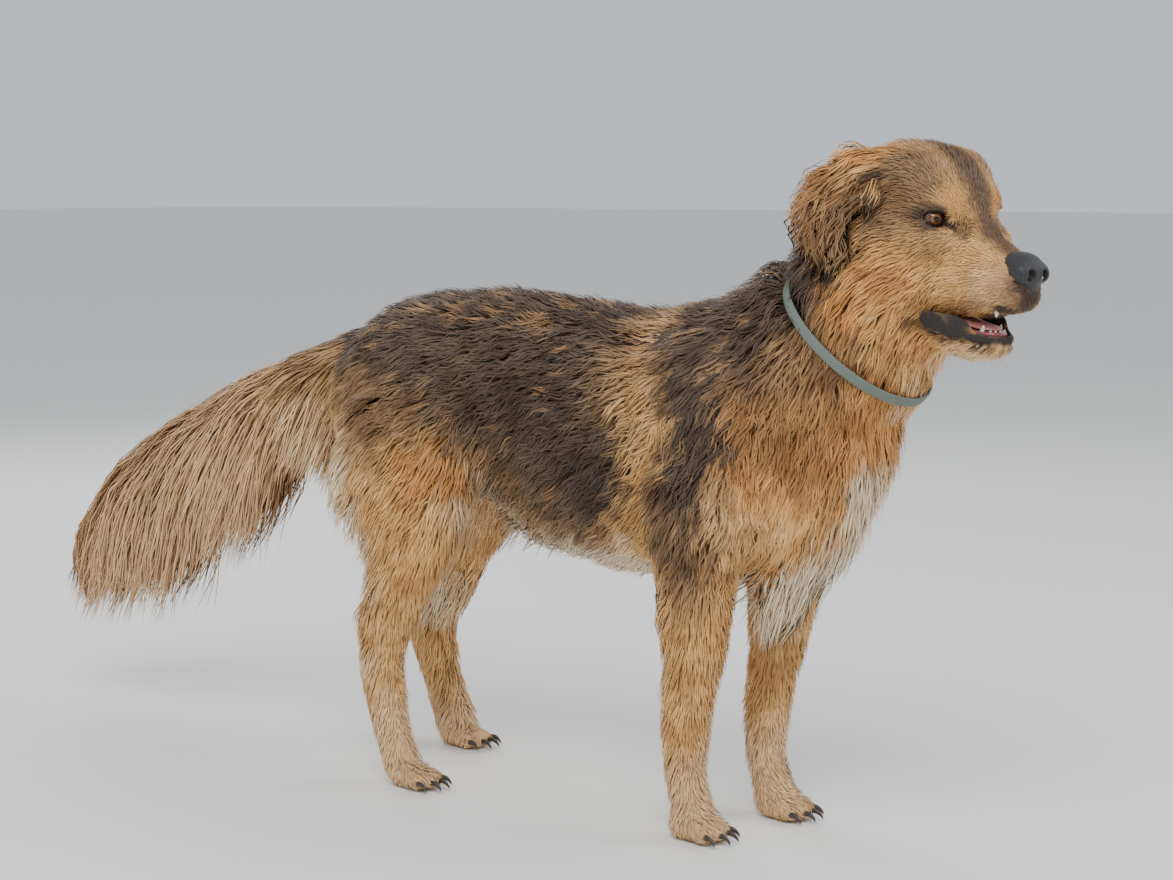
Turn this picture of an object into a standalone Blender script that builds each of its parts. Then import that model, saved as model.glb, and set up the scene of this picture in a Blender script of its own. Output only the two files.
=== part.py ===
"""A large shepherd-cross dog with a medium-long coat, life size, standing still with its head up.

Everything is in metres: +X towards the nose, +Y to the dog's left, +Z up, with the floor at z = 0.
The outline is the tips of the coat. The body is built as one blended mass from tapering tubes and
lumps, then parted with thin cuts into the head, neck, trunk, tail and legs. Eyes, nose, ears,
tongue, claws and collar are bodies of their own, bedded in it.
"""

import math

import bmesh
import bpy
from mathutils import Matrix, Vector

# The dog's own frame starts under the middle of its back; this moves it under the middle of its box.
MIDDLE = Vector((0.1657, 0.0, 0.0))

GAP = 0.0004  # room between two bodies that touch
CUT = 0.0006  # thickness of a parting cut
EAR_ROOM = 0.0016  # room round an ear
TONGUE_ROOM = 0.0008

# How the head is carried: the point midway between the eyes, and its turn and nod.
EYE_MIDDLE = Vector((0.507, -0.030, 0.724))
HEAD_TURN = math.radians(-14)  # towards the dog's right
HEAD_NOD = math.radians(9)  # nose down
EYE_RADIUS = 0.0125

# The collar: a plain narrow band lying on the coat of the neck.
COLLAR_CENTRE = Vector((0.368, -0.004, 0.590))
COLLAR_TILT = math.radians(43)  # its plane, down and forwards from the nape
COLLAR_HALF_HEIGHT = 0.100
COLLAR_HALF_WIDTH = 0.096
BAND_WIDTH = 0.012
BAND_THICKNESS = 0.0045
GROOVE_DEPTH = 0.04  # of the parting in the coat over the band

VOXEL = 0.0075  # grain of the blended body
BLEND_ROUNDS = 9
BODY_TRIANGLES = 3000

# The trunk, rump to breastbone: x, centre height, half width, height above it and depth below it.
TRUNK = (
    (-0.408, 0.520, 0.032, 0.040, 0.060),
    (-0.385, 0.510, 0.070, 0.075, 0.100),
    (-0.340, 0.500, 0.100, 0.108, 0.130),
    (-0.270, 0.500, 0.108, 0.128, 0.130),
    (-0.180, 0.500, 0.104, 0.138, 0.125),
    (-0.090, 0.490, 0.108, 0.146, 0.158),
    (0.000, 0.478, 0.119, 0.149, 0.182),
    (0.100, 0.473, 0.125, 0.147, 0.186),
    (0.190, 0.478, 0.127, 0.155, 0.184),
    (0.275, 0.482, 0.122, 0.150, 0.168),
    (0.335, 0.486, 0.106, 0.125, 0.132),
    (0.385, 0.490, 0.078, 0.090, 0.090),
    (0.412, 0.494, 0.036, 0.045, 0.045),
)

# The neck, from inside the chest to the back of the skull: x, y, z, half width, nape, throat.
NECK = (
    (0.215, 0.000, 0.500, 0.112, 0.140, 0.130),
    (0.290, 0.000, 0.548, 0.110, 0.125, 0.125),
    (0.355, -0.004, 0.600, 0.104, 0.112, 0.122),
    (0.400, -0.012, 0.660, 0.098, 0.104, 0.108),
    (0.430, -0.020, 0.715, 0.086, 0.086, 0.090),
)

# The chest's long hair between the forelegs.
APRON = (
    (0.370, 0.000, 0.430, 0.060, 0.038, 0.030),
    (0.330, 0.000, 0.350, 0.050, 0.042, 0.040),
    (0.290, 0.000, 0.285, 0.034, 0.030, 0.040),
    (0.256, 0.000, 0.236, 0.022, 0.022, 0.026),
    (0.246, 0.000, 0.220, 0.012, 0.012, 0.014),
)

# The skull and jaws in the head's frame: forward from the eyes, height, half width, up, down.
SKULL = (
    (-0.150, -0.015, 0.040, 0.040, 0.050),
    (-0.130, -0.015, 0.064, 0.072, 0.082),
    (-0.100, -0.015, 0.078, 0.092, 0.108),
    (-0.062, -0.020, 0.079, 0.102, 0.112),
    (-0.030, -0.025, 0.077, 0.100, 0.106),
    (-0.006, -0.030, 0.069, 0.084, 0.092),
    (0.014, -0.036, 0.042, 0.060, 0.074),
    (0.034, -0.042, 0.035, 0.044, 0.060),
)
MUZZLE = (
    (0.000, -0.048, 0.050, 0.048, 0.056),
    (0.030, -0.050, 0.043, 0.049, 0.052),
    (0.058, -0.054, 0.037, 0.043, 0.046),
    (0.082, -0.057, 0.034, 0.036, 0.036),
    (0.100, -0.064, 0.028, 0.025, 0.024),
    (0.113, -0.066, 0.021, 0.014, 0.014),
)
JAW = (
    (-0.080, -0.096, 0.052, 0.030, 0.030),
    (-0.040, -0.108, 0.052, 0.030, 0.030),
    (0.000, -0.116, 0.042, 0.022, 0.027),
    (0.040, -0.122, 0.033, 0.018, 0.027),
    (0.068, -0.121, 0.027, 0.014, 0.021),
    (0.084, -0.119, 0.020, 0.012, 0.013),
    (0.092, -0.117, 0.010, 0.008, 0.008),
)
CHEEK = (-0.040, 0.050, -0.070)
CHEEK_RADII = (0.052, 0.038, 0.055)
BROW = (0.000, 0.038, 0.022)
BROW_RADII = (0.020, 0.020, 0.014)
CHEEKBONE = (0.008, 0.044, -0.016)
CHEEKBONE_RADII = (0.032, 0.021, 0.018)
TEMPLE = (-0.045, 0.040, 0.043)
TEMPLE_RADII = (0.042, 0.032, 0.032)
EAR_BASE = (-0.078, 0.050, 0.042)
EAR_BASE_RADII = (0.034, 0.028, 0.026)

# Limbs, top to foot: x, y outwards, z, half width, forwards, backwards.
RIGHT_FORELEG = (
    (0.185, 0.092, 0.430, 0.046, 0.090, 0.070),
    (0.205, 0.094, 0.350, 0.046, 0.068, 0.056),
    (0.212, 0.091, 0.285, 0.041, 0.050, 0.048),
    (0.208, 0.085, 0.225, 0.036, 0.039, 0.042),
    (0.194, 0.080, 0.160, 0.031, 0.033, 0.036),
    (0.188, 0.078, 0.125, 0.032, 0.033, 0.034),
    (0.187, 0.076, 0.085, 0.028, 0.027, 0.031),
    (0.192, 0.075, 0.050, 0.028, 0.026, 0.028),
    (0.198, 0.075, 0.028, 0.030, 0.028, 0.026),
)
LEFT_FORELEG = (
    (0.195, 0.090, 0.430, 0.046, 0.090, 0.070),
    (0.216, 0.088, 0.350, 0.046, 0.068, 0.056),
    (0.226, 0.082, 0.285, 0.041, 0.050, 0.048),
    (0.222, 0.076, 0.225, 0.036, 0.039, 0.042),
    (0.210, 0.071, 0.160, 0.031, 0.033, 0.036),
    (0.206, 0.069, 0.125, 0.032, 0.033, 0.034),
    (0.206, 0.068, 0.085, 0.028, 0.027, 0.031),
    (0.212, 0.067, 0.050, 0.028, 0.026, 0.028),
    (0.218, 0.067, 0.028, 0.030, 0.028, 0.026),
)
RIGHT_HIND_LEG = (
    (-0.262, 0.078, 0.500, 0.052, 0.100, 0.090),
    (-0.228, 0.088, 0.430, 0.056, 0.112, 0.106),
    (-0.214, 0.096, 0.370, 0.054, 0.096, 0.104),
    (-0.218, 0.098, 0.310, 0.046, 0.066, 0.074),
    (-0.243, 0.097, 0.240, 0.036, 0.042, 0.050),
    (-0.268, 0.095, 0.180, 0.029, 0.036, 0.036),
    (-0.272, 0.095, 0.148, 0.028, 0.036, 0.033),
    (-0.260, 0.095, 0.105, 0.025, 0.029, 0.030),
    (-0.250, 0.095, 0.060, 0.025, 0.027, 0.028),
    (-0.240, 0.095, 0.032, 0.029, 0.030, 0.026),
)
LEFT_HIND_LEG = (
    (-0.272, 0.078, 0.500, 0.052, 0.100, 0.090),
    (-0.252, 0.088, 0.430, 0.056, 0.112, 0.100),
    (-0.262, 0.096, 0.370, 0.054, 0.092, 0.098),
    (-0.290, 0.102, 0.310, 0.046, 0.064, 0.072),
    (-0.328, 0.106, 0.240, 0.036, 0.042, 0.048),
    (-0.358, 0.109, 0.185, 0.029, 0.036, 0.036),
    (-0.366, 0.111, 0.150, 0.028, 0.036, 0.033),
    (-0.350, 0.112, 0.105, 0.025, 0.029, 0.030),
    (-0.335, 0.112, 0.060, 0.025, 0.027, 0.028),
    (-0.322, 0.112, 0.032, 0.029, 0.030, 0.026),
)

# The long hair behind each thigh: x, y outwards, z, half width, forwards, backwards.
RIGHT_BREECHES = (
    (-0.330, 0.070, 0.470, 0.030, 0.030, 0.030),
    (-0.325, 0.084, 0.400, 0.038, 0.040, 0.036),
    (-0.318, 0.092, 0.320, 0.036, 0.040, 0.040),
    (-0.316, 0.094, 0.250, 0.030, 0.036, 0.038),
    (-0.316, 0.095, 0.195, 0.024, 0.030, 0.030),
    (-0.320, 0.095, 0.160, 0.014, 0.020, 0.018),
)
LEFT_BREECHES_SHIFT = (-0.050, 0.010, 0.004)

# The tail, tip to root: x, height of its bone line, half width, up to the coat's top, down to the plume.
TAIL = (
    (-0.948, 0.215, 0.010, 0.016, 0.030),
    (-0.930, 0.228, 0.030, 0.036, 0.062),
    (-0.900, 0.262, 0.044, 0.038, 0.106),
    (-0.850, 0.318, 0.053, 0.036, 0.166),
    (-0.780, 0.370, 0.058, 0.034, 0.214),
    (-0.700, 0.414, 0.060, 0.034, 0.252),
    (-0.635, 0.444, 0.057, 0.034, 0.224),
    (-0.570, 0.472, 0.052, 0.034, 0.190),
    (-0.510, 0.492, 0.048, 0.035, 0.176),
    (-0.460, 0.508, 0.045, 0.036, 0.200),
    (-0.430, 0.520, 0.043, 0.040, 0.130),
    (-0.380, 0.535, 0.042, 0.044, 0.050),
)

# Feet: ankle side x, y outwards, length ahead of it, and whether it is a hind foot.
PAWS = {
    "foreleg_right": (0.168, -0.075, 0.083, 0.066),
    "foreleg_left": (0.196, 0.067, 0.083, 0.066),
    "hind_leg_right": (-0.256, -0.095, 0.086, 0.060),
    "hind_leg_left": (-0.344, 0.112, 0.086, 0.060),
}
TOES = 4
TOE_SPREAD = 0.34  # of the paw's width, from its middle to an outer toe
TOE_TURN = 0.16  # radians that an outer toe points outwards
TOE_RADII = (0.25, 0.155)  # of the paw's length and width
PAD_RADII = (0.40, 0.44)
PAW_HEIGHT = 0.034

# An ear, folded back: forward from the eyes, out from the middle, up, half thickness, ahead, behind.
EAR = (
    (-0.086, 0.062, 0.055, 0.010, 0.032, 0.018),
    (-0.096, 0.077, 0.040, 0.016, 0.054, 0.036),
    (-0.106, 0.094, 0.016, 0.014, 0.058, 0.054),
    (-0.101, 0.102, -0.008, 0.013, 0.046, 0.058),
    (-0.089, 0.107, -0.030, 0.012, 0.036, 0.042),
    (-0.077, 0.108, -0.052, 0.011, 0.024, 0.024),
    (-0.070, 0.106, -0.066, 0.006, 0.010, 0.008),
)

# Parting cuts seen from the side: a point (x, y, z), the way each runs, half its length and width.
HEAD_CUT = ((0.418, -0.018, 0.678), (0.455, -0.890), 0.17, 0.15)
NECK_CUT = ((0.315, 0.000, 0.555), (0.787, -0.616), 0.20, 0.18)
TAIL_CUTS = (
    ((-0.424, 0.000, 0.415), (0.080, -1.000), 0.24, 0.072),
    ((-0.585, 0.000, 0.375), (0.080, -1.000), 0.24, 0.072),
    ((-0.750, 0.000, 0.300), (0.080, -1.000), 0.24, 0.072),
)
# Legs, from a line this far out: how far ahead of the paw's heel, height, slope, half length.
FORELEG_CUTS = ((0.030, 0.268, 0.0, 0.085), (0.014, 0.125, 0.0, 0.06), (0.020, 0.050, 0.0, 0.06))
HIND_LEG_CUTS = ((0.030, 0.354, -0.07, 0.140), (-0.010, 0.168, 0.1, 0.07), (0.015, 0.050, 0.0, 0.06))
LEG_INNER = 0.038
LEG_CUT_WIDTH = 0.070

# The open mouth in the head's frame, from behind the jaw to in front of it: forward, up.
MOUTH_TOP = ((-0.0600, -0.1700), (-0.0060, -0.1000), (0.0650, -0.0955), (0.1400, -0.0700))
MOUTH_BOTTOM = ((-0.0594, -0.1704), (-0.0054, -0.1006), (0.0250, -0.1050), (0.0500, -0.1150), (0.1400, -0.1110))
MOUTH_REACH = 0.12

# In the head's frame: the middle of the right eyeball, the nose leather, the tongue.
EYE_PLACE = (-0.0020, 0.0420, 0.0012)
SOCKET_AHEAD = (0.013, 0.005)  # forward and out from the eyeball's middle
SOCKET_RADII = (0.014, 0.015, 0.0095)
SOCKET_TURN = math.radians(40)
NOSE_CENTRE = (0.0985, 0.0, -0.0395)
NOSE_RADII = (0.0200, 0.0240, 0.0215)
NOSTRIL = (0.0135, 0.0115, -0.0020)  # from the nose's middle
NOSTRIL_RADII = (0.0075, 0.0045, 0.0045)
NOSTRIL_TURN = math.radians(50)
TONGUE = (
    (0.004, -0.1020, 0.012, 0.0008, 0.0008),
    (0.022, -0.1015, 0.018, 0.0018, 0.0018),
    (0.045, -0.1060, 0.019, 0.0050, 0.0050),
    (0.065, -0.1080, 0.017, 0.0050, 0.0050),
    (0.078, -0.1080, 0.010, 0.0035, 0.0035),
)

# Front teeth in the head's frame: forward, out from the middle, gum height, length, width.
UPPER_TEETH = ((0.084, 0.0180, -0.0880, -0.011, 0.0065),)
LOWER_TEETH = (
    (0.0850, 0.0022, -0.1130, 0.007, 0.0040),
    (0.0835, 0.0066, -0.1130, 0.007, 0.0040),
    (0.0790, 0.0125, -0.1130, 0.012, 0.0060),
)

CLAW_LENGTH = 0.015
CLAW_REACH = 0.20  # of the paw's length, ahead of the toe's middle
CLAW_RADIUS = 0.0034
CLAW_HEIGHT = 0.0095
CLAW_DROP = math.radians(18)  # below level
KEEPER_ANGLE = math.radians(200)  # round the collar from the throat, on the right near the nape
KEEPER_SIZE = (0.008, 0.016, 0.003)
KEEPER_ROOM = 0.002  # coat pressed aside round the keeper


def clear_scene():
    for piece in list(bpy.data.objects):
        bpy.data.objects.remove(piece, do_unlink=True)


def material(name, colour, roughness, metallic=0.0):
    made = bpy.data.materials.new(name)
    made.use_nodes = True
    shader = made.node_tree.nodes["Principled BSDF"]
    shader.inputs["Base Color"].default_value = (*colour, 1.0)
    shader.inputs["Roughness"].default_value = roughness
    shader.inputs["Metallic"].default_value = metallic
    return made


def head_frame():
    """Turns the head's own forward, left and up into the dog's frame."""
    turn = Matrix.Rotation(HEAD_TURN, 4, "Z") @ Matrix.Rotation(HEAD_NOD, 4, "Y")
    return Matrix.Translation(EYE_MIDDLE) @ turn


def between(rows, steps):
    """Rows of numbers, with more rows on a smooth curve through them."""
    found = []
    last = len(rows) - 1
    for i in range(last):
        before, start, end, after = (rows[max(0, min(last, k))] for k in (i - 1, i, i + 1, i + 2))
        for step in range(steps):
            t = step / steps
            weights = (
                -0.5 * t + t**2 - 0.5 * t**3,
                1 - 2.5 * t**2 + 1.5 * t**3,
                0.5 * t + 2 * t**2 - 1.5 * t**3,
                -0.5 * t**2 + 0.5 * t**3,
            )
            row = zip(before, start, end, after)
            found.append([sum(w * v for w, v in zip(weights, four)) for four in row])
    found.append(list(rows[last]))
    return found


def add_tube(mesh, rows, place=None, upright=False, sides=20, steps=3):
    """A closed tube with egg-shaped rings through rows of x, y, z, half width, ahead, behind.

    Ahead is the way that is up on a tube running along +X, and forwards on one running down. An
    upright tube keeps its rings square to X instead of square to its own run.
    """
    rows = between(rows, steps)
    centres = [Vector(row[:3]) for row in rows]
    rings = []
    for i, (centre, row) in enumerate(zip(centres, rows)):
        along = centres[min(i + 1, len(rows) - 1)] - centres[max(i - 1, 0)]
        along = Vector((1, 0, 0)) if upright else along.normalized()
        out = (Vector((0, 1, 0)) - along * along.y).normalized()
        ahead = along.cross(out)
        width, front, back = (max(size, 0.001) for size in row[3:])
        ring = []
        for k in range(sides):
            angle = math.tau * k / sides
            reach = front if math.sin(angle) > 0 else back
            offset = out * (width * math.cos(angle)) + ahead * (reach * math.sin(angle))
            point = centre + offset
            ring.append(mesh.verts.new(place @ point if place else point))
        rings.append(ring)
    faces = []
    for first, second in zip(rings, rings[1:]):
        for k in range(sides):
            corners = (first[k], first[k - 1], second[k - 1], second[k])
            faces.append(mesh.faces.new(corners))
    faces.append(mesh.faces.new(rings[0]))
    faces.append(mesh.faces.new(rings[-1]))
    bmesh.ops.recalc_face_normals(mesh, faces=faces)


def add_lump(mesh, centre, radii, place=None, turn=None, segments=16):
    """An ellipsoid."""
    shape = Matrix.Translation(centre) @ (turn or Matrix.Identity(4)) @ Matrix.Diagonal((*radii, 1))
    if place:
        shape = place @ shape
    bmesh.ops.create_uvsphere(
        mesh, u_segments=segments, v_segments=segments // 2, radius=1, matrix=shape
    )


def add_box(mesh, place, size):
    bmesh.ops.create_cube(mesh, size=1, matrix=place @ Matrix.Diagonal((*size, 1)))


def object_from(mesh, name, finish=None):
    data = bpy.data.meshes.new(name)
    mesh.to_mesh(data)
    mesh.free()
    made = bpy.data.objects.new(name, data)
    bpy.context.scene.collection.objects.link(made)
    if finish:
        data.materials.append(finish)
    return made


def apply_modifiers(piece):
    """Puts an object's evaluated mesh in place of its own."""
    seen = piece.evaluated_get(bpy.context.evaluated_depsgraph_get())
    data = bpy.data.meshes.new_from_object(seen)
    piece.modifiers.clear()
    piece.data = data
    return piece


def cut_from(piece, cutter):
    """Takes a cutter's shape out of a piece for good."""
    cutter.hide_render = True
    cutter.display_type = "WIRE"
    boolean = piece.modifiers.new("Cut", "BOOLEAN")
    boolean.operation = "DIFFERENCE"
    boolean.solver = "EXACT"
    boolean.object = cutter
    apply_modifiers(piece)
    bpy.data.objects.remove(cutter, do_unlink=True)
    return piece


def joined_by_boolean(piece, other):
    """Welds another closed body on to a piece."""
    boolean = piece.modifiers.new("Join", "BOOLEAN")
    boolean.operation = "UNION"
    boolean.solver = "EXACT"
    boolean.object = other
    apply_modifiers(piece)
    bpy.data.objects.remove(other, do_unlink=True)
    return piece


def mirrored(rows, side):
    """Limb rows given outwards, for the left (1) or right (-1) side."""
    return [(row[0], row[1] * side, *row[2:]) for row in rows]


def midline(rows):
    """Rows without a y of their own, put on the dog's middle line."""
    return [(row[0], 0.0, *row[1:]) for row in rows]


def paw_toes(centre_x, centre_y, length, width):
    """Where each toe's middle lies, and the way that it points."""
    for k in range(TOES):
        across = (k - (TOES - 1) / 2) / ((TOES - 1) / 2)
        reach = length * (0.74 - 0.13 * across**2)
        place = Vector((centre_x + reach, centre_y + across * width * TOE_SPREAD, 0.0))
        yield place, across * TOE_TURN


def add_paw(mesh, paw):
    """A foot: a flattened pad mass with four toes ahead of it."""
    centre_x, centre_y, length, width = paw
    heel = (centre_x + length * 0.30, centre_y, PAW_HEIGHT * 0.44)
    add_lump(mesh, heel, (length * PAD_RADII[0], width * PAD_RADII[1], PAW_HEIGHT * 0.62))
    for place, turn in paw_toes(*paw):
        toe = place + Vector((0, 0, PAW_HEIGHT * 0.42))
        spin = Matrix.Rotation(turn, 4, "Z")
        radii = (length * TOE_RADII[0], width * TOE_RADII[1], PAW_HEIGHT * 0.50)
        add_lump(mesh, toe, radii, turn=spin, segments=12)


def blended_body():
    """Head, neck, trunk, tail and legs as one mass with no seams."""
    mesh = bmesh.new()
    head = head_frame()
    add_tube(mesh, midline(TRUNK))
    add_tube(mesh, NECK)
    add_tube(mesh, APRON)
    add_tube(mesh, midline(TAIL), upright=True)
    for rows in (SKULL, MUZZLE, JAW):
        add_tube(mesh, midline(rows), place=head)
    lumps = (
        (CHEEK, CHEEK_RADII),
        (BROW, BROW_RADII),
        (CHEEKBONE, CHEEKBONE_RADII),
        (TEMPLE, TEMPLE_RADII),
        (EAR_BASE, EAR_BASE_RADII),
    )
    for (f, out, up), radii in lumps:
        for side in (1, -1):
            add_lump(mesh, (f, side * out, up), radii, place=head)
    add_tube(mesh, mirrored(RIGHT_FORELEG, -1))
    add_tube(mesh, mirrored(LEFT_FORELEG, 1))
    add_tube(mesh, mirrored(RIGHT_HIND_LEG, -1))
    add_tube(mesh, mirrored(LEFT_HIND_LEG, 1))
    add_tube(mesh, mirrored(RIGHT_BREECHES, -1))
    shift = LEFT_BREECHES_SHIFT
    left = [(x + shift[0], y + shift[1], z + shift[2], *sizes) for x, y, z, *sizes in RIGHT_BREECHES]
    add_tube(mesh, left)
    for paw in PAWS.values():
        add_paw(mesh, paw)

    body = object_from(mesh, "body")
    remesh = body.modifiers.new("Blend", "REMESH")
    remesh.mode = "VOXEL"
    remesh.voxel_size = VOXEL
    soften = body.modifiers.new("Soften", "SMOOTH")
    soften.factor = 0.5
    soften.iterations = BLEND_ROUNDS
    apply_modifiers(body)
    return body


def thin_out(body):
    """Fewer triangles, kept where the shape turns most."""
    decimate = body.modifiers.new("Coarse", "DECIMATE")
    decimate.ratio = BODY_TRIANGLES / (2 * len(body.data.polygons))
    apply_modifiers(body)
    return body


def slab(mesh, centre, run, reach, width):
    """A thin parting cut: its middle, how it runs in the side view, half its length and width."""
    along = Vector((run[0], 0.0, run[1])).normalized()
    turn = along.to_track_quat("X", "Z").to_matrix().to_4x4()
    place = Matrix.Translation(centre) @ turn
    add_box(mesh, place, (2 * reach, 2 * width, CUT))


def parting_cuts():
    """Every thin cut between one part of the body and the next, and the open mouth."""
    mesh = bmesh.new()
    for cut in (HEAD_CUT, NECK_CUT, *TAIL_CUTS):
        slab(mesh, *cut)
    for name, (x, y, _, _) in PAWS.items():
        middle = math.copysign(LEG_INNER + LEG_CUT_WIDTH, y)
        for ahead, height, rise, reach in FORELEG_CUTS if "fore" in name else HIND_LEG_CUTS:
            slab(mesh, (x + ahead, middle, height), (1.0, rise), reach, LEG_CUT_WIDTH)
    return object_from(mesh, "parting_cuts")


def mouth_opening():
    """A wedge between the lips, running on as a thin cut behind the lower jaw."""
    mesh = bmesh.new()
    head = head_frame()
    corners = [*MOUTH_TOP, *reversed(MOUTH_BOTTOM)]
    sides = []
    for side in (-1, 1):
        points = [head @ Vector((f, side * MOUTH_REACH, u)) for f, u in corners]
        sides.append([mesh.verts.new(point) for point in points])
    near, far = sides
    for i in range(len(near)):
        mesh.faces.new((near[i - 1], near[i], far[i], far[i - 1]))
    mesh.faces.new(near)
    mesh.faces.new(list(reversed(far)))
    bmesh.ops.recalc_face_normals(mesh, faces=mesh.faces)
    return object_from(mesh, "mouth_opening")


def floor_block():
    mesh = bmesh.new()
    add_box(mesh, Matrix.Translation((0, 0, -0.05)), (3, 1, 0.1))
    return object_from(mesh, "floor_block")


def shape_from(name, add, *args, **options):
    """An object made by one of the add functions alone."""
    mesh = bmesh.new()
    add(mesh, *args, **options)
    return object_from(mesh, name)


def largest_body(piece):
    """Drops the slivers that cutting leaves beside a piece's main body."""
    mesh = bmesh.new()
    mesh.from_mesh(piece.data)
    waiting = set(mesh.verts)
    bodies = []
    while waiting:
        reached, next_up = set(), [waiting.pop()]
        while next_up:
            vertex = next_up.pop()
            reached.add(vertex)
            for edge in vertex.link_edges:
                other = edge.other_vert(vertex)
                if other in waiting:
                    waiting.remove(other)
                    next_up.append(other)
        bodies.append(reached)
    bodies.sort(key=len)
    slivers = [vertex for body in bodies[:-1] for vertex in body]
    bmesh.ops.delete(mesh, geom=slivers, context="VERTS")
    mesh.to_mesh(piece.data)
    mesh.free()


def named_parts(body):
    """Splits the cut body into its loose bodies and names each by the mark that it lies nearest to."""
    bpy.ops.object.select_all(action="DESELECT")
    bpy.context.view_layer.objects.active = body
    body.select_set(True)
    bpy.ops.mesh.separate(type="LOOSE")
    marks = part_marks()
    parts = {}
    for piece in bpy.context.selected_objects:
        corners = [Vector(corner) for corner in piece.bound_box]
        middle = sum(corners, Vector()) / len(corners)
        name = min(marks, key=lambda mark: (marks[mark] - middle).length)
        if name in parts:
            raise RuntimeError(f"two bodies lie nearest to {name}")
        piece.name = piece.data.name = name
        parts[name] = piece
    missing = set(marks) - set(parts)
    if missing:
        raise RuntimeError(f"no body for {sorted(missing)}")
    return parts


def part_marks():
    """Roughly where the middle of each part of the body lies."""
    head = head_frame()
    marks = {
        "head": head @ Vector((-0.02, 0.0, 0.0)),
        "lower_jaw": head @ Vector((0.02, 0.0, -0.125)),
        "neck": Vector((0.33, 0.0, 0.63)),
        "trunk": Vector((0.0, 0.0, 0.43)),
        "tail_root": Vector((-0.50, 0.0, 0.42)),
        "tail_middle": Vector((-0.67, 0.0, 0.33)),
        "tail_tip": Vector((-0.85, 0.0, 0.28)),
    }
    for name, (x, y, _, _) in PAWS.items():
        marks[f"{name}_upper"] = Vector((x + 0.02, y, 0.26 if "hind" in name else 0.20))
        marks[f"{name}_lower"] = Vector((x, y, 0.10))
        marks[f"{name}_paw"] = Vector((x + 0.04, y, 0.025))
    return marks


def eye(side, grow=0.0):
    place = head_frame() @ Matrix.Translation((EYE_PLACE[0], side * EYE_PLACE[1], EYE_PLACE[2]))
    radius = EYE_RADIUS + grow
    name = "eye_left" if side > 0 else "eye_right"
    return shape_from(name, add_lump, (0, 0, 0), (radius,) * 3, place=place, segments=12)


def eye_socket(side):
    """The opening between the lids, a shallow almond in front of the eyeball."""
    ahead, out = SOCKET_AHEAD
    centre = (EYE_PLACE[0] + ahead, side * (EYE_PLACE[1] + out), EYE_PLACE[2])
    turn = Matrix.Rotation(side * SOCKET_TURN, 4, "Z")
    return shape_from("socket", add_lump, centre, SOCKET_RADII, head_frame(), turn, 10)


def nose(grow=0.0):
    """The nose leather with its two nostrils."""
    radii = [size + grow for size in NOSE_RADII]
    piece = shape_from("nose", add_lump, NOSE_CENTRE, radii, place=head_frame(), segments=14)
    if grow:
        return piece
    for side in (1, -1):
        centre = Vector(NOSE_CENTRE) + Vector((NOSTRIL[0], side * NOSTRIL[1], NOSTRIL[2]))
        turn = Matrix.Rotation(side * NOSTRIL_TURN, 4, "Z")
        hole = shape_from("nostril", add_lump, centre, NOSTRIL_RADII, head_frame(), turn, 8)
        cut_from(piece, hole)
    return piece


def ear(side, grow=0.0):
    """An ear laid back: a thick leaf hanging from its fold."""
    rows = [(f, side * out, up, *(size + grow for size in sizes)) for f, out, up, *sizes in EAR]
    if grow:
        first, last = list(rows[0]), list(rows[-1])
        first[2] += grow
        last[2] -= grow
        rows = [first, *rows[1:-1], last]
    name = "ear_left" if side > 0 else "ear_right"
    return shape_from(name, add_tube, rows, place=head_frame(), sides=12, steps=2)


def tongue(grow=0.0):
    rows = [(f, u, *(size + grow for size in sizes)) for f, u, *sizes in TONGUE]
    rows[0] = (rows[0][0] - grow, *rows[0][1:])
    rows[-1] = (rows[-1][0] + grow, *rows[-1][1:])
    return shape_from("tongue", add_tube, midline(rows), place=head_frame(), sides=10, steps=2)


def add_tooth(mesh, root, height, width):
    """A small cone standing on the gum, up on the lower jaw and down on the upper one."""
    shift = Matrix.Translation(Vector(root) + Vector((0, 0, height / 2 - math.copysign(0.002, height))))
    flip = Matrix.Rotation(math.pi, 4, "X") if height < 0 else Matrix.Identity(4)
    bmesh.ops.create_cone(
        mesh,
        cap_ends=True,
        segments=6,
        radius1=width / 2,
        radius2=width / 6,
        depth=abs(height),
        matrix=head_frame() @ shift @ flip,
    )


def teeth(rows):
    """Front teeth in an arc, each a body that is then welded to its jaw."""
    for f, across, u, height, width in rows:
        for side in (1, -1):
            yield shape_from("tooth", add_tooth, (f, side * across, u), height, width)


def claw(name, place, turn, grow=0.0):
    """A short tapered claw pointing ahead and down."""
    aim = Matrix.Rotation(turn, 4, "Z") @ Matrix.Rotation(math.pi / 2 + CLAW_DROP, 4, "Y")
    start = Matrix.Translation(place)
    return shape_from(
        name,
        bmesh.ops.create_cone,
        cap_ends=True,
        segments=8,
        radius1=CLAW_RADIUS + grow,
        radius2=CLAW_RADIUS * 0.3 + grow,
        depth=CLAW_LENGTH + 2 * grow,
        matrix=start @ aim,
    )


def claws(name, paw):
    """The four claws of a foot, bedded in its toes."""
    found = []
    for k, (toe, turn) in enumerate(paw_toes(*paw)):
        ahead = Vector((math.cos(turn), math.sin(turn), 0.0))
        middle = toe + ahead * (paw[2] * CLAW_REACH) + Vector((0, 0, CLAW_HEIGHT))
        found.append((f"{name}_claw_{k + 1}", middle, turn))
    return found


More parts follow.
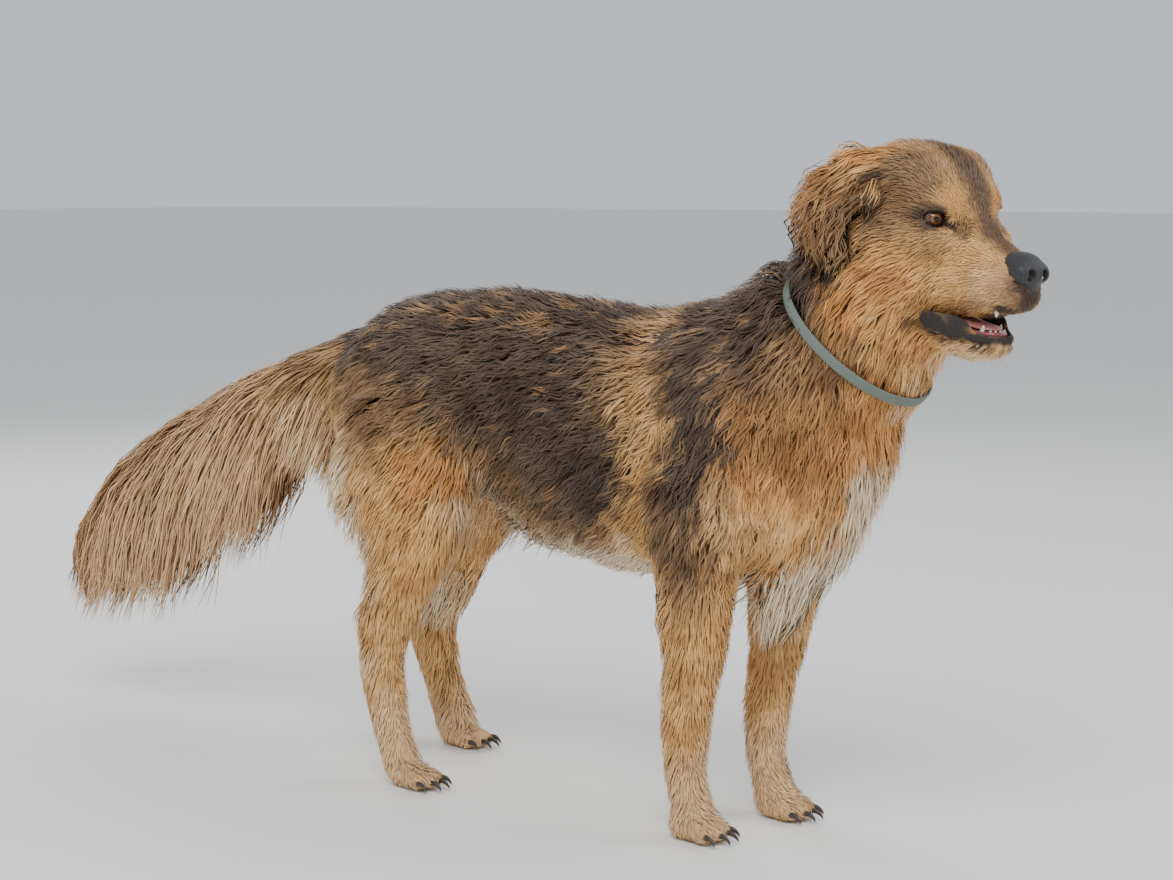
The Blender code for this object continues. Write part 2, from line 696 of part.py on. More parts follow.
def add_collar(mesh, width, inner, outer, steps=40):
    """A flat band round the neck: its width, and how far its faces lie inside and outside its line."""
    down = Vector((math.cos(COLLAR_TILT), 0.0, -math.sin(COLLAR_TILT)))
    normal = Vector((math.sin(COLLAR_TILT), 0.0, math.cos(COLLAR_TILT)))
    out = Vector((0, 1, 0))
    rings = []
    for i in range(steps):
        angle = math.tau * i / steps
        ring = []
        for depth, rise in ((-inner, -0.5), (outer, -0.5), (outer, 0.5), (-inner, 0.5)):
            flat = down * (math.cos(angle) * (COLLAR_HALF_HEIGHT + depth))
            flat += out * (math.sin(angle) * (COLLAR_HALF_WIDTH + depth))
            ring.append(mesh.verts.new(COLLAR_CENTRE + flat + normal * (rise * width)))
        rings.append(ring)
    for i in range(steps):
        first, second = rings[i - 1], rings[i]
        for k in range(4):
            mesh.faces.new((first[k], first[k - 1], second[k - 1], second[k]))
    bmesh.ops.recalc_face_normals(mesh, faces=mesh.faces)


def collar_keeper(grow=0.0):
    """The small loop that holds the band's end, outside the band near the nape."""
    down = Vector((math.cos(COLLAR_TILT), 0.0, -math.sin(COLLAR_TILT)))
    out = Vector((0, 1, 0))
    lift = BAND_THICKNESS / 2 + GAP + KEEPER_SIZE[2] / 2
    cos, sin = math.cos(KEEPER_ANGLE), math.sin(KEEPER_ANGLE)
    normal = (down * (cos / COLLAR_HALF_HEIGHT) + out * (sin / COLLAR_HALF_WIDTH)).normalized()
    middle = COLLAR_CENTRE + down * (cos * COLLAR_HALF_HEIGHT) + out * (sin * COLLAR_HALF_WIDTH)
    across = Vector((math.sin(COLLAR_TILT), 0.0, math.cos(COLLAR_TILT)))
    along = across.cross(normal)
    turn = Matrix((along, across, normal)).transposed().to_4x4()
    place = Matrix.Translation(middle + normal * lift) @ turn
    size = [side + 2 * grow for side in KEEPER_SIZE]
    return shape_from("collar_keeper", add_box, place, size)


def finish_piece(piece, finish):
    piece.data.materials.clear()
    piece.data.materials.append(finish)
    piece.data.shade_smooth()
    piece.data.set_sharp_from_angle(angle=math.radians(60))
    for vertex in piece.data.vertices:
        vertex.co += MIDDLE


def main():
    clear_scene()
    body = blended_body()
    thin_out(body)
    for cutter in (floor_block(), mouth_opening(), parting_cuts()):
        cut_from(body, cutter)
    parts = named_parts(body)

    head, jaw, neck = parts["head"], parts["lower_jaw"], parts["neck"]
    for side in (1, -1):
        cut_from(head, eye_socket(side))
        cut_from(head, eye(side, GAP))
        cut_from(head, ear(side, EAR_ROOM))
        cut_from(neck, ear(side, EAR_ROOM))
    cut_from(head, nose(GAP))
    for piece in (head, jaw):
        cut_from(piece, tongue(TONGUE_ROOM))
    for tooth in teeth(UPPER_TEETH):
        joined_by_boolean(head, tooth)
    for tooth in teeth(LOWER_TEETH):
        joined_by_boolean(jaw, tooth)
    bed = BAND_THICKNESS / 2 + GAP
    groove = shape_from("groove", add_collar, BAND_WIDTH + 2 * GAP, bed, GROOVE_DEPTH)
    cut_from(neck, groove)
    cut_from(neck, collar_keeper(KEEPER_ROOM))
    for piece in (head, jaw, neck):
        largest_body(piece)

    coat = material("tan_coat", (0.42, 0.27, 0.14), 0.85)
    leather = material("nose_leather", (0.03, 0.03, 0.035), 0.45)
    amber = material("amber_eye", (0.16, 0.06, 0.02), 0.08)
    flesh = material("tongue_flesh", (0.55, 0.22, 0.22), 0.4)
    horn = material("claw_horn", (0.05, 0.045, 0.04), 0.5)
    webbing = material("collar_webbing", (0.35, 0.38, 0.34), 0.75)
    finishes = {name: coat for name in parts}
    made = [nose(), tongue()]
    made += [shape(side) for shape in (eye, ear) for side in (1, -1)]
    for name, paw in PAWS.items():
        for claw_name, place, turn in claws(name, paw):
            cut_from(parts[f"{name}_paw"], claw("bed", place, turn, GAP))
            made.append(claw(claw_name, place, turn))
            finishes[claw_name] = horn
    band = BAND_THICKNESS / 2
    made += [shape_from("collar", add_collar, BAND_WIDTH, band, band), collar_keeper()]
    finishes |= {"nose": leather, "tongue": flesh, "collar": webbing, "collar_keeper": webbing}
    finishes |= {"eye_left": amber, "eye_right": amber, "ear_left": coat, "ear_right": coat}
    for piece in [*parts.values(), *made]:
        finish_piece(piece, finishes[piece.name])


main()
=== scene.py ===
"""The looks of a large long-coated dog standing with its head up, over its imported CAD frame.

One skin, modelled as a signed distance field and meshed, lies inside the CAD body by the depth of
the coat. The coat is solid mesh tufts that start on the skin, follow the lie of the hair and are
combed out to the CAD body's outline. Eyes, nose, mouth, claws and collar are pieces of their own.
Lengths are metres, in tables millimetres: +X towards the nose, +Y to the dog's left, +Z up.
"""

import math
from functools import partial

import bmesh
import bpy
import numpy as np
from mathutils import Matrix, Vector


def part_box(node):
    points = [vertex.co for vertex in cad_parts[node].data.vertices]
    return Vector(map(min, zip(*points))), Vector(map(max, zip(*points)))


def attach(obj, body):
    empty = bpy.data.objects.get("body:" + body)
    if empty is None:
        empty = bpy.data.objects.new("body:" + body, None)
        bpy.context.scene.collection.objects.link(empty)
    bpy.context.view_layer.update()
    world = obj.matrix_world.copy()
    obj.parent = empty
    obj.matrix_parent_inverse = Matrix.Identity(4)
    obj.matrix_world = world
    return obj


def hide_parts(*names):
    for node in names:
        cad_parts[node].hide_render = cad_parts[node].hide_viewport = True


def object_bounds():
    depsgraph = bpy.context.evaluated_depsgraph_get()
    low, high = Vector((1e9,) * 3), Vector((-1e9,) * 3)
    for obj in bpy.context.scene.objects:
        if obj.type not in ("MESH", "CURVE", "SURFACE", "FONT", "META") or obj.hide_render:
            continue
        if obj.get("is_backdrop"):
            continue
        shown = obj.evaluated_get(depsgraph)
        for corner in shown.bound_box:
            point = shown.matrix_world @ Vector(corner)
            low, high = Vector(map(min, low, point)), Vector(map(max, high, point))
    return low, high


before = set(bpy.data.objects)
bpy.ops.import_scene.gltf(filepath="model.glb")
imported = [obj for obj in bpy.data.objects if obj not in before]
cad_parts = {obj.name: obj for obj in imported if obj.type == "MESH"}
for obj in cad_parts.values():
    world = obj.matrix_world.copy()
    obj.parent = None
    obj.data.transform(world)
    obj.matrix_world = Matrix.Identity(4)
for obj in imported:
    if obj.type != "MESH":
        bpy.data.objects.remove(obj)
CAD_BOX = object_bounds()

import openvdb
from mathutils import Matrix, Vector
from mathutils.kdtree import KDTree

bl_info = {
    "name": "Long-coated dog",
    "version": (1, 0, 0),
    "blender": (4, 5, 0),
    "location": "3D View > Sidebar > Dog",
    "description": "Skin, coat, eyes, nose, mouth, claws, collar and stage of a standing dog",
    "category": "Add Mesh",
}


def metres(rows):
    """Millimetres as metres, however deep in tuples."""
    return tuple(metres(row) for row in rows) if isinstance(rows, tuple) else round(rows / 1000, 7)


# ---------------------------------------------------------------- where things are, from the frame


def middle_of(node):
    """The middle of a CAD node's box."""
    low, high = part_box(node)
    return (low + high) / 2


RIGHT_EYE, LEFT_EYE = middle_of("eye_right"), middle_of("eye_left")
EYE_OUT = (LEFT_EYE - RIGHT_EYE).length / 2
EYE_RADIUS = 0.0118
HEAD_NOD = math.radians(9)
HEAD_TURN = -math.atan2(LEFT_EYE.x - RIGHT_EYE.x, LEFT_EYE.y - RIGHT_EYE.y)
EYE_HEIGHT = 0.0012  # of the eyeballs above the head frame's middle
EYE_AHEAD = -0.002
HEAD_SPIN = Matrix.Rotation(HEAD_TURN, 4, "Z") @ Matrix.Rotation(HEAD_NOD, 4, "Y")
HEAD_MIDDLE = (RIGHT_EYE + LEFT_EYE) / 2 - HEAD_SPIN @ Vector((EYE_AHEAD, 0.0, EYE_HEIGHT))
HEAD = Matrix.Translation(HEAD_MIDDLE) @ HEAD_SPIN

# Body tables are given from a point under the dog's back, ahead of the box's middle.
BODY = Matrix.Translation((0.1657, 0.0, 0.0))
FLESH = [
    name
    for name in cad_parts
    if name in ("head", "lower_jaw", "neck", "trunk", "ear_left", "ear_right")
    or name.startswith("tail_")
    or name.endswith(("_upper", "_lower", "_paw"))
]

# ---------------------------------------------------------------- the body under the coat
# Tubes: x, y, z, half width, towards the front or top, towards the back or underside.

TRUNK = metres((
    (-385, 0, 520, 30, 34, 45),
    (-355, 0, 515, 60, 60, 70),
    (-300, 0, 510, 78, 88, 85),
    (-230, 0, 508, 80, 102, 85),
    (-150, 0, 505, 76, 108, 80),
    (-70, 0, 495, 82, 115, 105),
    (10, 0, 480, 94, 120, 135),
    (100, 0, 473, 99, 119, 148),
    (185, 0, 475, 98, 126, 148),
    (260, 0, 480, 92, 122, 136),
    (320, 0, 484, 78, 98, 105),
    (362, 0, 488, 50, 60, 65),
    (382, 0, 490, 20, 24, 25),
))
NECK = metres((
    (215, 0, 505, 80, 100, 95),
    (290, 0, 552, 76, 92, 88),
    (350, -4, 604, 73, 83, 86),
    (396, -12, 660, 66, 76, 76),
    (428, -20, 712, 50, 56, 56),
))
TAIL = metres((
    (-350, 0, 538, 34, 34, 34),
    (-400, 0, 530, 26, 26, 26),
    (-450, 0, 513, 21, 21, 21),
    (-520, 0, 489, 18, 18, 18),
    (-600, 0, 460, 16, 16, 16),
    (-700, 0, 414, 14, 14, 14),
    (-780, 0, 370, 12, 12, 12),
    (-850, 0, 318, 10, 10, 10),
    (-900, 0, 266, 9, 9, 9),
    (-925, 0, 236, 7, 7, 7),
))
RIGHT_FORELEG = metres((
    (205, -74, 440, 28, 62, 54),
    (208, -86, 350, 31, 46, 45),
    (211, -88, 285, 29, 34, 36),
    (207, -83, 225, 24, 28, 28),
    (195, -80, 160, 21, 23, 23),
    (190, -78, 125, 23, 25, 25),
    (189, -76, 85, 20, 19, 21),
    (193, -75, 50, 22, 20, 22),
    (198, -75, 28, 26, 24, 22),
))
LEFT_FORELEG = metres((
    (215, 72, 440, 28, 62, 54),
    (219, 80, 350, 31, 46, 45),
    (225, 79, 285, 29, 34, 36),
    (221, 74, 225, 24, 28, 28),
    (211, 71, 160, 21, 23, 23),
    (208, 69, 125, 23, 25, 25),
    (208, 68, 85, 20, 19, 21),
    (213, 67, 50, 22, 20, 22),
    (218, 67, 28, 26, 24, 22),
))
RIGHT_HIND_LEG = metres((
    (-262, -64, 500, 34, 70, 64),
    (-232, -78, 430, 40, 86, 78),
    (-220, -88, 370, 38, 70, 72),
    (-222, -93, 310, 32, 47, 48),
    (-244, -95, 240, 25, 30, 31),
    (-266, -95, 180, 20, 26, 25),
    (-270, -95, 148, 20, 27, 25),
    (-259, -95, 105, 17.5, 21, 21),
    (-250, -95, 60, 19, 21, 21),
    (-240, -95, 32, 25, 26, 22),
))
LEFT_HIND_LEG = metres((
    (-270, 64, 500, 34, 70, 64),
    (-254, 78, 430, 40, 84, 76),
    (-266, 89, 370, 38, 68, 70),
    (-293, 97, 310, 32, 46, 48),
    (-328, 105, 240, 25, 30, 31),
    (-356, 109, 185, 20, 26, 25),
    (-364, 111, 150, 20, 27, 25),
    (-349, 112, 105, 17.5, 21, 21),
    (-335, 112, 60, 19, 21, 21),
    (-322, 112, 32, 25, 26, 22),
))
# Muscle and bone that shape the outline under the coat: middle, radii, lean in the side view.
LUMPS = (
    ((235, 78, 500), (50, 26, 105), -18),
    ((290, 62, 420), (48, 34, 55), 0),
    ((172, 90, 352), (26, 20, 30), 0),
    ((-235, 74, 455), (90, 30, 85), 0),
)
# Feet: heel x, y, length and width; the toes spread ahead of the heel.
PAWS = {
    "foreleg_right": metres((168, -75, 83, 66)),
    "foreleg_left": metres((196, 67, 83, 66)),
    "hind_leg_right": metres((-256, -95, 86, 60)),
    "hind_leg_left": metres((-344, 112, 86, 60)),
}
TOES = 4
PAW_HEIGHT = 0.034

# The head's own frame: forward from the eyes, left, up.
SKULL = metres((
    (-140, 0, -15, 36, 36, 42),
    (-122, 0, -15, 52, 60, 66),
    (-98, 0, -15, 64, 78, 88),
    (-62, 0, -20, 67, 91, 94),
    (-30, 0, -25, 67, 91, 92),
    (-6, 0, -30, 60, 77, 82),
    (14, 0, -36, 38, 55, 68),
    (34, 0, -42, 32, 40, 55),
))
MUZZLE = metres((
    (0, 0, -48, 45, 44, 53),
    (30, 0, -50, 40, 46, 50),
    (58, 0, -54, 35, 41, 44.5),
    (82, 0, -57, 32, 37.5, 34.5),
    (94, 0, -60, 29.5, 34, 29),
    (102, 0, -63, 26, 26, 24),
    (112, 0, -66, 19.5, 13, 14),
))
JAW = metres((
    (-80, 0, -94, 44, 26, 26),
    (-40, 0, -106, 44, 26, 26),
    (0, 0, -114, 36, 22, 22),
    (40, 0, -120, 30, 19, 21),
    (68, 0, -119, 24, 15, 17),
    (82, 0, -117.5, 17.5, 11.5, 12.5),
    (89, 0, -116, 9, 7, 7),
))
HEAD_LUMPS = metres((
    ((-40, 46, -66), (46, 30, 48)),  # cheek
    ((6, 40, -19), (30, 18, 14)),  # cheekbone
    ((-1, 37, 20), (18, 17, 12)),  # brow
    ((-45, 36, 38), (40, 28, 28)),  # temple
    ((-78, 48, 40), (30, 24, 22)),  # root of the ear
    ((78, 18, -66), (28, 17, 20)),  # whisker bed
))
EAR = metres((
    (-78, 46, 46, 8, 24, 16),
    (-88, 66, 40, 5.5, 36, 26),
    (-99, 86, 16, 4.2, 38, 36),
    (-96, 95, -8, 3.6, 30, 34),
    (-88, 99, -27, 3.2, 20, 22),
    (-80, 100, -42, 2.5, 8, 8),
))
# The slit between the lips: forward, up, on its upper and its lower edge.
UPPER_LIP = metres(((-6, -98.5), (30, -95), (65, -96), (100, -83), (140, -64)))
LOWER_LIP = metres(((-6, -99.5), (25, -103), (50, -113), (90, -110), (140, -108)))

# The loose black edge of the lower lip, which closes the back of the opening.
LIP_FOLD = metres((
    (-6, 42, -98, 0.8, 0.8, 0.8),
    (4, 41.2, -102, 2.6, 5.5, 9),
    (18, 39.5, -106, 2.8, 10.5, 12),
    (34, 36.2, -109, 2.8, 14, 11),
    (48, 32.7, -111.5, 2.7, 15, 9),
    (56, 30, -112.8, 2.6, 11.5, 7.5),
    (63, 27.2, -113.8, 2.4, 6, 6),
    (72, 22.5, -114.5, 2.2, 4, 4.5),
    (82, 14, -114, 2.1, 3.2, 3.6),
    (87, 5, -113, 2, 2.8, 3.2),
))
LID_THICKNESS = 0.0026
GAZE_TURN = math.radians(26)
SLIT_SLANT = math.radians(8)
SLIT_RADII = (0.01, 0.0143, 0.0088)
# Folds: a path of forward, out and up; how deep it is pressed in; how wide.
FURROWS = metres((
    (((34, 0, 4), (12, 0, 22), (-20, 0, 60), (-60, 0, 70)), 2.8, 10),
    (((26, 30, -18), (10, 50, -22), (-10, 58, -16)), 1.6, 6),
    (((30, 40, -86), (0, 50, -92), (-22, 56, -86)), 2.4, 8),
    (((70, 30, -40), (40, 40, -44), (16, 46, -52)), 1.8, 10),
    (((20, 20, 0), (30, 30, -12)), 1.6, 7),
))

BODY_VOXEL = 0.004
HEAD_VOXEL = 0.00125


# ---------------------------------------------------------------- small tools


def rgb(code):
    """A hex sRGB colour as linear red, green and blue."""
    values = (int(code[i : i + 2], 16) / 255 for i in (1, 3, 5))
    return tuple(v / 12.92 if v <= 0.04045 else ((v + 0.055) / 1.055) ** 2.4 for v in values)


def through(points, place):
    """Points moved by a 4 by 4 matrix."""
    matrix = np.array(place)
    return np.asarray(points) @ matrix[:3, :3].T + matrix[:3, 3]


def turned(vectors, place):
    """Directions turned by a matrix, without its shift."""
    return np.asarray(vectors) @ np.array(place)[:3, :3].T


def unit(vectors):
    """Vectors made one long."""
    length = np.linalg.norm(vectors, axis=-1, keepdims=True)
    return vectors / np.maximum(length, 1e-9)


def smoothstep(low, high, x):
    """0 below low, 1 above high and a soft rise between."""
    t = np.clip((x - low) / (high - low), 0, 1)
    return t * t * (3 - 2 * t)


def between(rows, steps):
    """Rows of numbers with more rows on a smooth curve through them."""
    rows = np.array(rows, float)
    ends = np.vstack([rows[:1], rows, rows[-1:]])
    t = (np.arange(steps) / steps)[:, None]
    found = []
    for a, b, c, d in zip(ends, ends[1:], ends[2:], ends[3:]):
        cubic = 2 * b + t * (c - a) + t**2 * (2 * a - 5 * b + 4 * c - d)
        found.append(0.5 * (cubic + t**3 * (3 * b - a - 3 * c + d)))
    found.append(rows[-1:])
    return np.vstack(found)


def ring_corners(count, sides):
    """Each point of a stack of rings, the next round its ring, and the same two of the next ring."""
    grid = np.arange(count * sides).reshape(count, sides)
    after = np.roll(grid, -1, axis=1)
    return grid[:-1], after[:-1], grid[1:], after[1:]


def ring_triangles(count, sides):
    """Two sets of triangles between a stack of rings."""
    a, b, c, d = ring_corners(count, sides)
    return [np.stack(corners, -1).reshape(-1, 3) for corners in ((a, c, b), (b, c, d))]


def tube(rows, place=None, sides=28, steps=4):
    """Points and triangles of a closed tube with egg-shaped rings."""
    rows = between(rows, steps)
    centres, sizes = rows[:, :3], np.maximum(rows[:, 3:], 0.0005)
    along = unit(np.gradient(centres, axis=0))
    out = unit(np.array((0.0, 1.0, 0.0)) - along * along[:, 1:2])
    ahead = np.cross(along, out)
    angle = math.tau * np.arange(sides) / sides
    wide = np.cos(angle)[None, :, None] * sizes[:, None, :1]
    reach = np.where(np.sin(angle) > 0, sizes[:, 1:2], sizes[:, 2:3]) * np.sin(angle)
    points = centres[:, None] + out[:, None] * wide + ahead[:, None] * reach[:, :, None]
    count = len(rows)
    ring = np.arange(count * sides).reshape(count, sides)
    faces = ring_triangles(count, sides)
    for row, flip in ((0, False), (count - 1, True)):
        hub = np.full(sides, count * sides + (row > 0))
        edge = (ring[row], np.roll(ring[row], -1))
        faces.append(np.stack((hub, *(edge[::-1] if flip else edge)), -1))
    points = np.vstack([points.reshape(-1, 3), centres[:1], centres[-1:]])
    return (through(points, place) if place else points), np.vstack(faces)


def ball(centre, radii, place=None, turn=None, rings=20):
    """Points and triangles of an ellipsoid."""
    shape = Matrix.Translation(centre) @ (turn or Matrix.Identity(4)) @ Matrix.Diagonal((*radii, 1))
    mesh = bmesh.new()
    bmesh.ops.create_uvsphere(
        mesh, u_segments=2 * rings, v_segments=rings, radius=1, matrix=(place or Matrix()) @ shape
    )
    bmesh.ops.triangulate(mesh, faces=mesh.faces)
    points = np.array([v.co for v in mesh.verts])
    faces = np.array([[v.index for v in f.verts] for f in mesh.faces])
    mesh.free()
    return points, faces


class Field:
    """Signed distance to a shape on a regular grid, in metres: negative inside."""

    def __init__(self, low, high, voxel, far=0.05):
        self.low = np.array(low, float)
        self.voxel = voxel
        size = np.ceil((np.array(high) - self.low) / voxel).astype(int) + 1
        self.values = np.full(size, far, np.float32)
        self.far = far

    def distance(self, shape, inside=None):
        """A closed mesh's distance over the part of the grid that it can reach, and that part."""
        points, faces = shape
        reach = self.far
        first = np.floor((points.min(0) - reach - self.low) / self.voxel).astype(int)
        last = np.ceil((points.max(0) + reach - self.low) / self.voxel).astype(int)
        first = np.clip(first, 0, np.array(self.values.shape) - 1)
        last = np.clip(last, 1, np.array(self.values.shape))
        corner = self.low + first * self.voxel
        grid = openvdb.FloatGrid.createLevelSetFromPolygons(
            (points - corner).astype(np.float32),
            triangles=faces.astype(np.uint32),
            transform=openvdb.createLinearTransform(voxelSize=self.voxel),
            exBandWidth=reach / self.voxel,
            inBandWidth=(inside or reach) / self.voxel,
        )
        found = np.empty(last - first, np.float32)
        grid.copyToArray(found, ijk=(0, 0, 0))
        return found, tuple(slice(a, b) for a, b in zip(first, last))

    def add(self, shape, blend=0.0, grow=0.0):
        """Joins a shape on, grown a little, with its crease filled."""
        found, part = self.distance(shape)
        found -= grow
        self.values[part] = soft_least(self.values[part], found, blend)

    def take(self, shape, blend=0.0):
        """Cuts a shape out, with the cut's edge rounded."""
        found, part = self.distance(shape)
        self.values[part] = -soft_least(-self.values[part], found, blend)

    def keep_inside(self, shape, margin, blend):
        """Trims the field to lie a margin inside a closed mesh."""
        found, part = self.distance(shape)
        self.values[part] = -soft_least(-self.values[part], -found - margin, blend)

    def dent(self, shape, depth, width):
        """Presses the surface in by a depth along a shape, fading out over a width."""
        found, part = self.distance(shape)
        self.values[part] += depth * (1 - smoothstep(0, width, found)).astype(np.float32)

    def sample(self, points):
        """The distance at any points."""
        at = (np.asarray(points) - self.low) / self.voxel
        at = np.clip(at, 0, np.array(self.values.shape) - 1.001)
        base = at.astype(int)
        share = at - base
        total = np.zeros(len(at))
        for corner in np.ndindex(2, 2, 2):
            weight = np.prod(np.where(corner, share, 1 - share), axis=1)
            total += weight * self.values[tuple((base + corner).T)]
        return total

    def slope(self, points):
        """The way out of the shape at any points."""
        step = self.voxel
        found = [
            self.sample(points + step * axis) - self.sample(points - step * axis)
            for axis in np.eye(3)
        ]
        return unit(np.stack(found, -1))

    def surface(self, adaptivity=0.0):
        """The zero surface as points and polygons."""
        grid = openvdb.FloatGrid(self.far)
        grid.copyFromArray(self.values, ijk=(0, 0, 0), tolerance=0)
        points, triangles, quads = grid.convertToPolygons(isovalue=0, adaptivity=adaptivity)
        points = self.low + np.asarray(points, float) * self.voxel
        return points, np.asarray(triangles, int), np.asarray(quads, int)


def soft_least(a, b, blend):
    """The smaller of two distances, with the crease between them filled."""
    if not blend:
        return np.minimum(a, b)
    share = np.maximum(blend - np.abs(a - b), 0) / blend
    return np.minimum(a, b) - share * share * (blend / 4)


def linked(name, data):
    """A new object of this data, in the scene."""
    made = bpy.data.objects.new(name, data)
    bpy.context.scene.collection.objects.link(made)
    return made


def piece_from(name, points, polygons, finish=None):
    """An object from points and any mix of triangle and quad arrays."""
    data = bpy.data.meshes.new(name)
    sizes = [np.full(len(p), p.shape[1]) for p in polygons if len(p)]
    sizes = np.concatenate(sizes)
    corners = np.concatenate([p.reshape(-1) for p in polygons if len(p)])
    data.vertices.add(len(points))
    data.vertices.foreach_set("co", np.asarray(points, np.float32).reshape(-1))
    data.loops.add(len(corners))
    data.loops.foreach_set("vertex_index", corners.astype(np.int32))
    data.polygons.add(len(sizes))
    data.polygons.foreach_set("loop_start", (np.cumsum(sizes) - sizes).astype(np.int32))
    data.polygons.foreach_set("use_smooth", np.ones(len(sizes), bool))
    data.update(calc_edges=True)
    data.validate()
    if finish:
        data.materials.append(finish)
    return linked(name, data)


def shape_piece(name, shape, finish=None):
    """An object from one closed shape."""
    points, faces = shape
    return piece_from(name, points, [faces], finish)


# ---------------------------------------------------------------- skin


def leaned(angle):
    """A turn by this many degrees in the side view."""
    return Matrix.Rotation(math.radians(angle), 4, "Y")


def paw_toes(paw):
    """Where each toe of a foot lies, from its heel, and how far it turns outwards."""
    x, y, length, width = paw
    for k in range(TOES):
        across = (k - (TOES - 1) / 2) / ((TOES - 1) / 2)
        reach = length * (0.74 - 0.13 * across**2)
        yield (x + reach, y + across * width * 0.34), across * 0.16


def paw_shapes(paw):
    """A foot's pad and its toes."""
    x, y, length, width = paw
    yield ball(
        (x + length * 0.32, y, PAW_HEIGHT * 0.42),
        (length * 0.36, width * 0.38, PAW_HEIGHT * 0.52),
        BODY,
    )
    for (toe_x, toe_y), turn in paw_toes(paw):
        spin = Matrix.Rotation(turn, 4, "Z")
        radii = (length * 0.225, width * 0.135, PAW_HEIGHT * 0.42)
        yield ball((toe_x - 0.001, toe_y, PAW_HEIGHT * 0.4), radii, BODY, spin)


def lip_wedge():
    """The opening between the lips, running out past both sides of the head."""
    upper, lower = between(UPPER_LIP, 4), between(LOWER_LIP, 4)
    outline = np.vstack([upper, lower[::-1]])
    count = len(outline)
    sides = [np.column_stack([outline[:, 0], np.full(count, y), outline[:, 1]]) for y in (-0.09, 0.09)]
    hubs = [side.mean(0) for side in sides]
    points = np.vstack([*sides, *hubs])
    k = np.arange(count)
    after = (k + 1) % count
    faces = np.vstack(
        [
            np.column_stack((k, after, k + count)),
            np.column_stack((after, after + count, k + count)),
            np.column_stack((after, k, np.full(count, 2 * count))),
            np.column_stack((k + count, after + count, np.full(count, 2 * count + 1))),
        ]
    )
    return through(points, HEAD), faces


# The neck is drawn in both fields; each dips under the other on its own side of this point.
JOIN_PLACE = through((0.372, -0.006, 0.628), BODY)
JOIN_WAY = np.array((0.6, -0.1, 0.79))
JOIN_DEPTH = 0.007
JOIN_WIDTH = 0.03


def past_join(field):
    """How far each point of a grid lies past the join, towards the head."""
    steps = [np.arange(size) * field.voxel for size in field.values.shape]
    start = field.low - JOIN_PLACE
    x, y, z = (way * (first + step) for way, first, step in zip(JOIN_WAY, start, steps))
    return (x[:, None, None] + y[None, :, None] + z[None, None, :]).astype(np.float32)


def cad_shape():
    """The CAD body's outside as one closed mesh, with no walls where its nodes meet."""
    low, high = (np.array(corner) for corner in CAD_BOX)
    rough = Field(low - 0.03, high + 0.03, 0.004, far=0.02)
    for name in (*FLESH, "nose", "eye_left", "eye_right"):
        rough.add(mesh_arrays(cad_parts[name].data), grow=0.0008)
    points, triangles, quads = rough.surface()
    return points, np.vstack([triangles.reshape(-1, 3), quads[:, [0, 1, 2]], quads[:, [0, 2, 3]]])


def body_field(voxel, outside):
    """Neck, trunk, tail and legs."""
    low, high = CAD_BOX
    field = Field(np.array(low) - 0.02, np.array(high) + 0.02, voxel, far=0.036)
    field.add(tube(TRUNK, BODY))
    field.add(tube(NECK, BODY), 0.035)
    field.add(tube(TAIL, BODY), 0.03)
    for rows in (RIGHT_FORELEG, LEFT_FORELEG, RIGHT_HIND_LEG, LEFT_HIND_LEG):
        field.add(tube(rows, BODY, sides=24), 0.026)
    for centre, radii, lean in LUMPS:
        x, y, z = metres(centre)
        for side in (1, -1):
            field.add(ball((x, side * y, z), metres(radii), BODY, leaned(lean)), 0.03)
    for paw in PAWS.values():
        for k, shape in enumerate(paw_shapes(paw)):
            field.add(shape, 0.02 if k == 0 else 0.004)
    field.keep_inside(outside, 0.003, 0.012)
    field.values += JOIN_DEPTH * smoothstep(0, JOIN_WIDTH, past_join(field)).astype(np.float32)
    return field


def eye_place(side):
    """An eyeball's middle in the head's frame."""
    return np.array((EYE_AHEAD, side * EYE_OUT, EYE_HEIGHT))


def gaze(side):
    """Which way an eye looks in the head's frame."""
    return np.array((math.cos(GAZE_TURN), side * math.sin(GAZE_TURN), 0.03))


def add_lids(field):
    """A rounded lid over each eyeball, with an almond slit."""
    for side in (1, -1):
        eye = eye_place(side)
        field.add(ball(eye, (EYE_RADIUS + LID_THICKNESS,) * 3, HEAD), 0.007)
        turn = Matrix.Rotation(side * GAZE_TURN, 4, "Z") @ Matrix.Rotation(side * SLIT_SLANT, 4, "X")
        field.take(ball(eye + gaze(side) * 0.01, SLIT_RADII, HEAD, turn), 0.0012)
        corner = eye + gaze(side) * 0.009 + np.array((0.004, -side * 0.01, -0.003))
        field.take(ball(corner, (0.004, 0.0032, 0.0018), HEAD, turn), 0.001)
        field.take(ball(eye, (EYE_RADIUS + 0.0003,) * 3, HEAD))


def add_furrows(field):
    """Soft folds between the brows, under the eyes and along the lips."""
    for path, depth, width in FURROWS:
        for side in (1, -1) if path[0][1] else (1,):
            rows = [(f, side * out, up, 0.0012, 0.0012, 0.0012) for f, out, up in path]
            field.dent(tube(rows, HEAD, sides=10), depth, width)


HEAD_CENTRE = (-0.014, 0.0, -0.032)
HEAD_REACH = np.array((0.152, 0.12, 0.13))


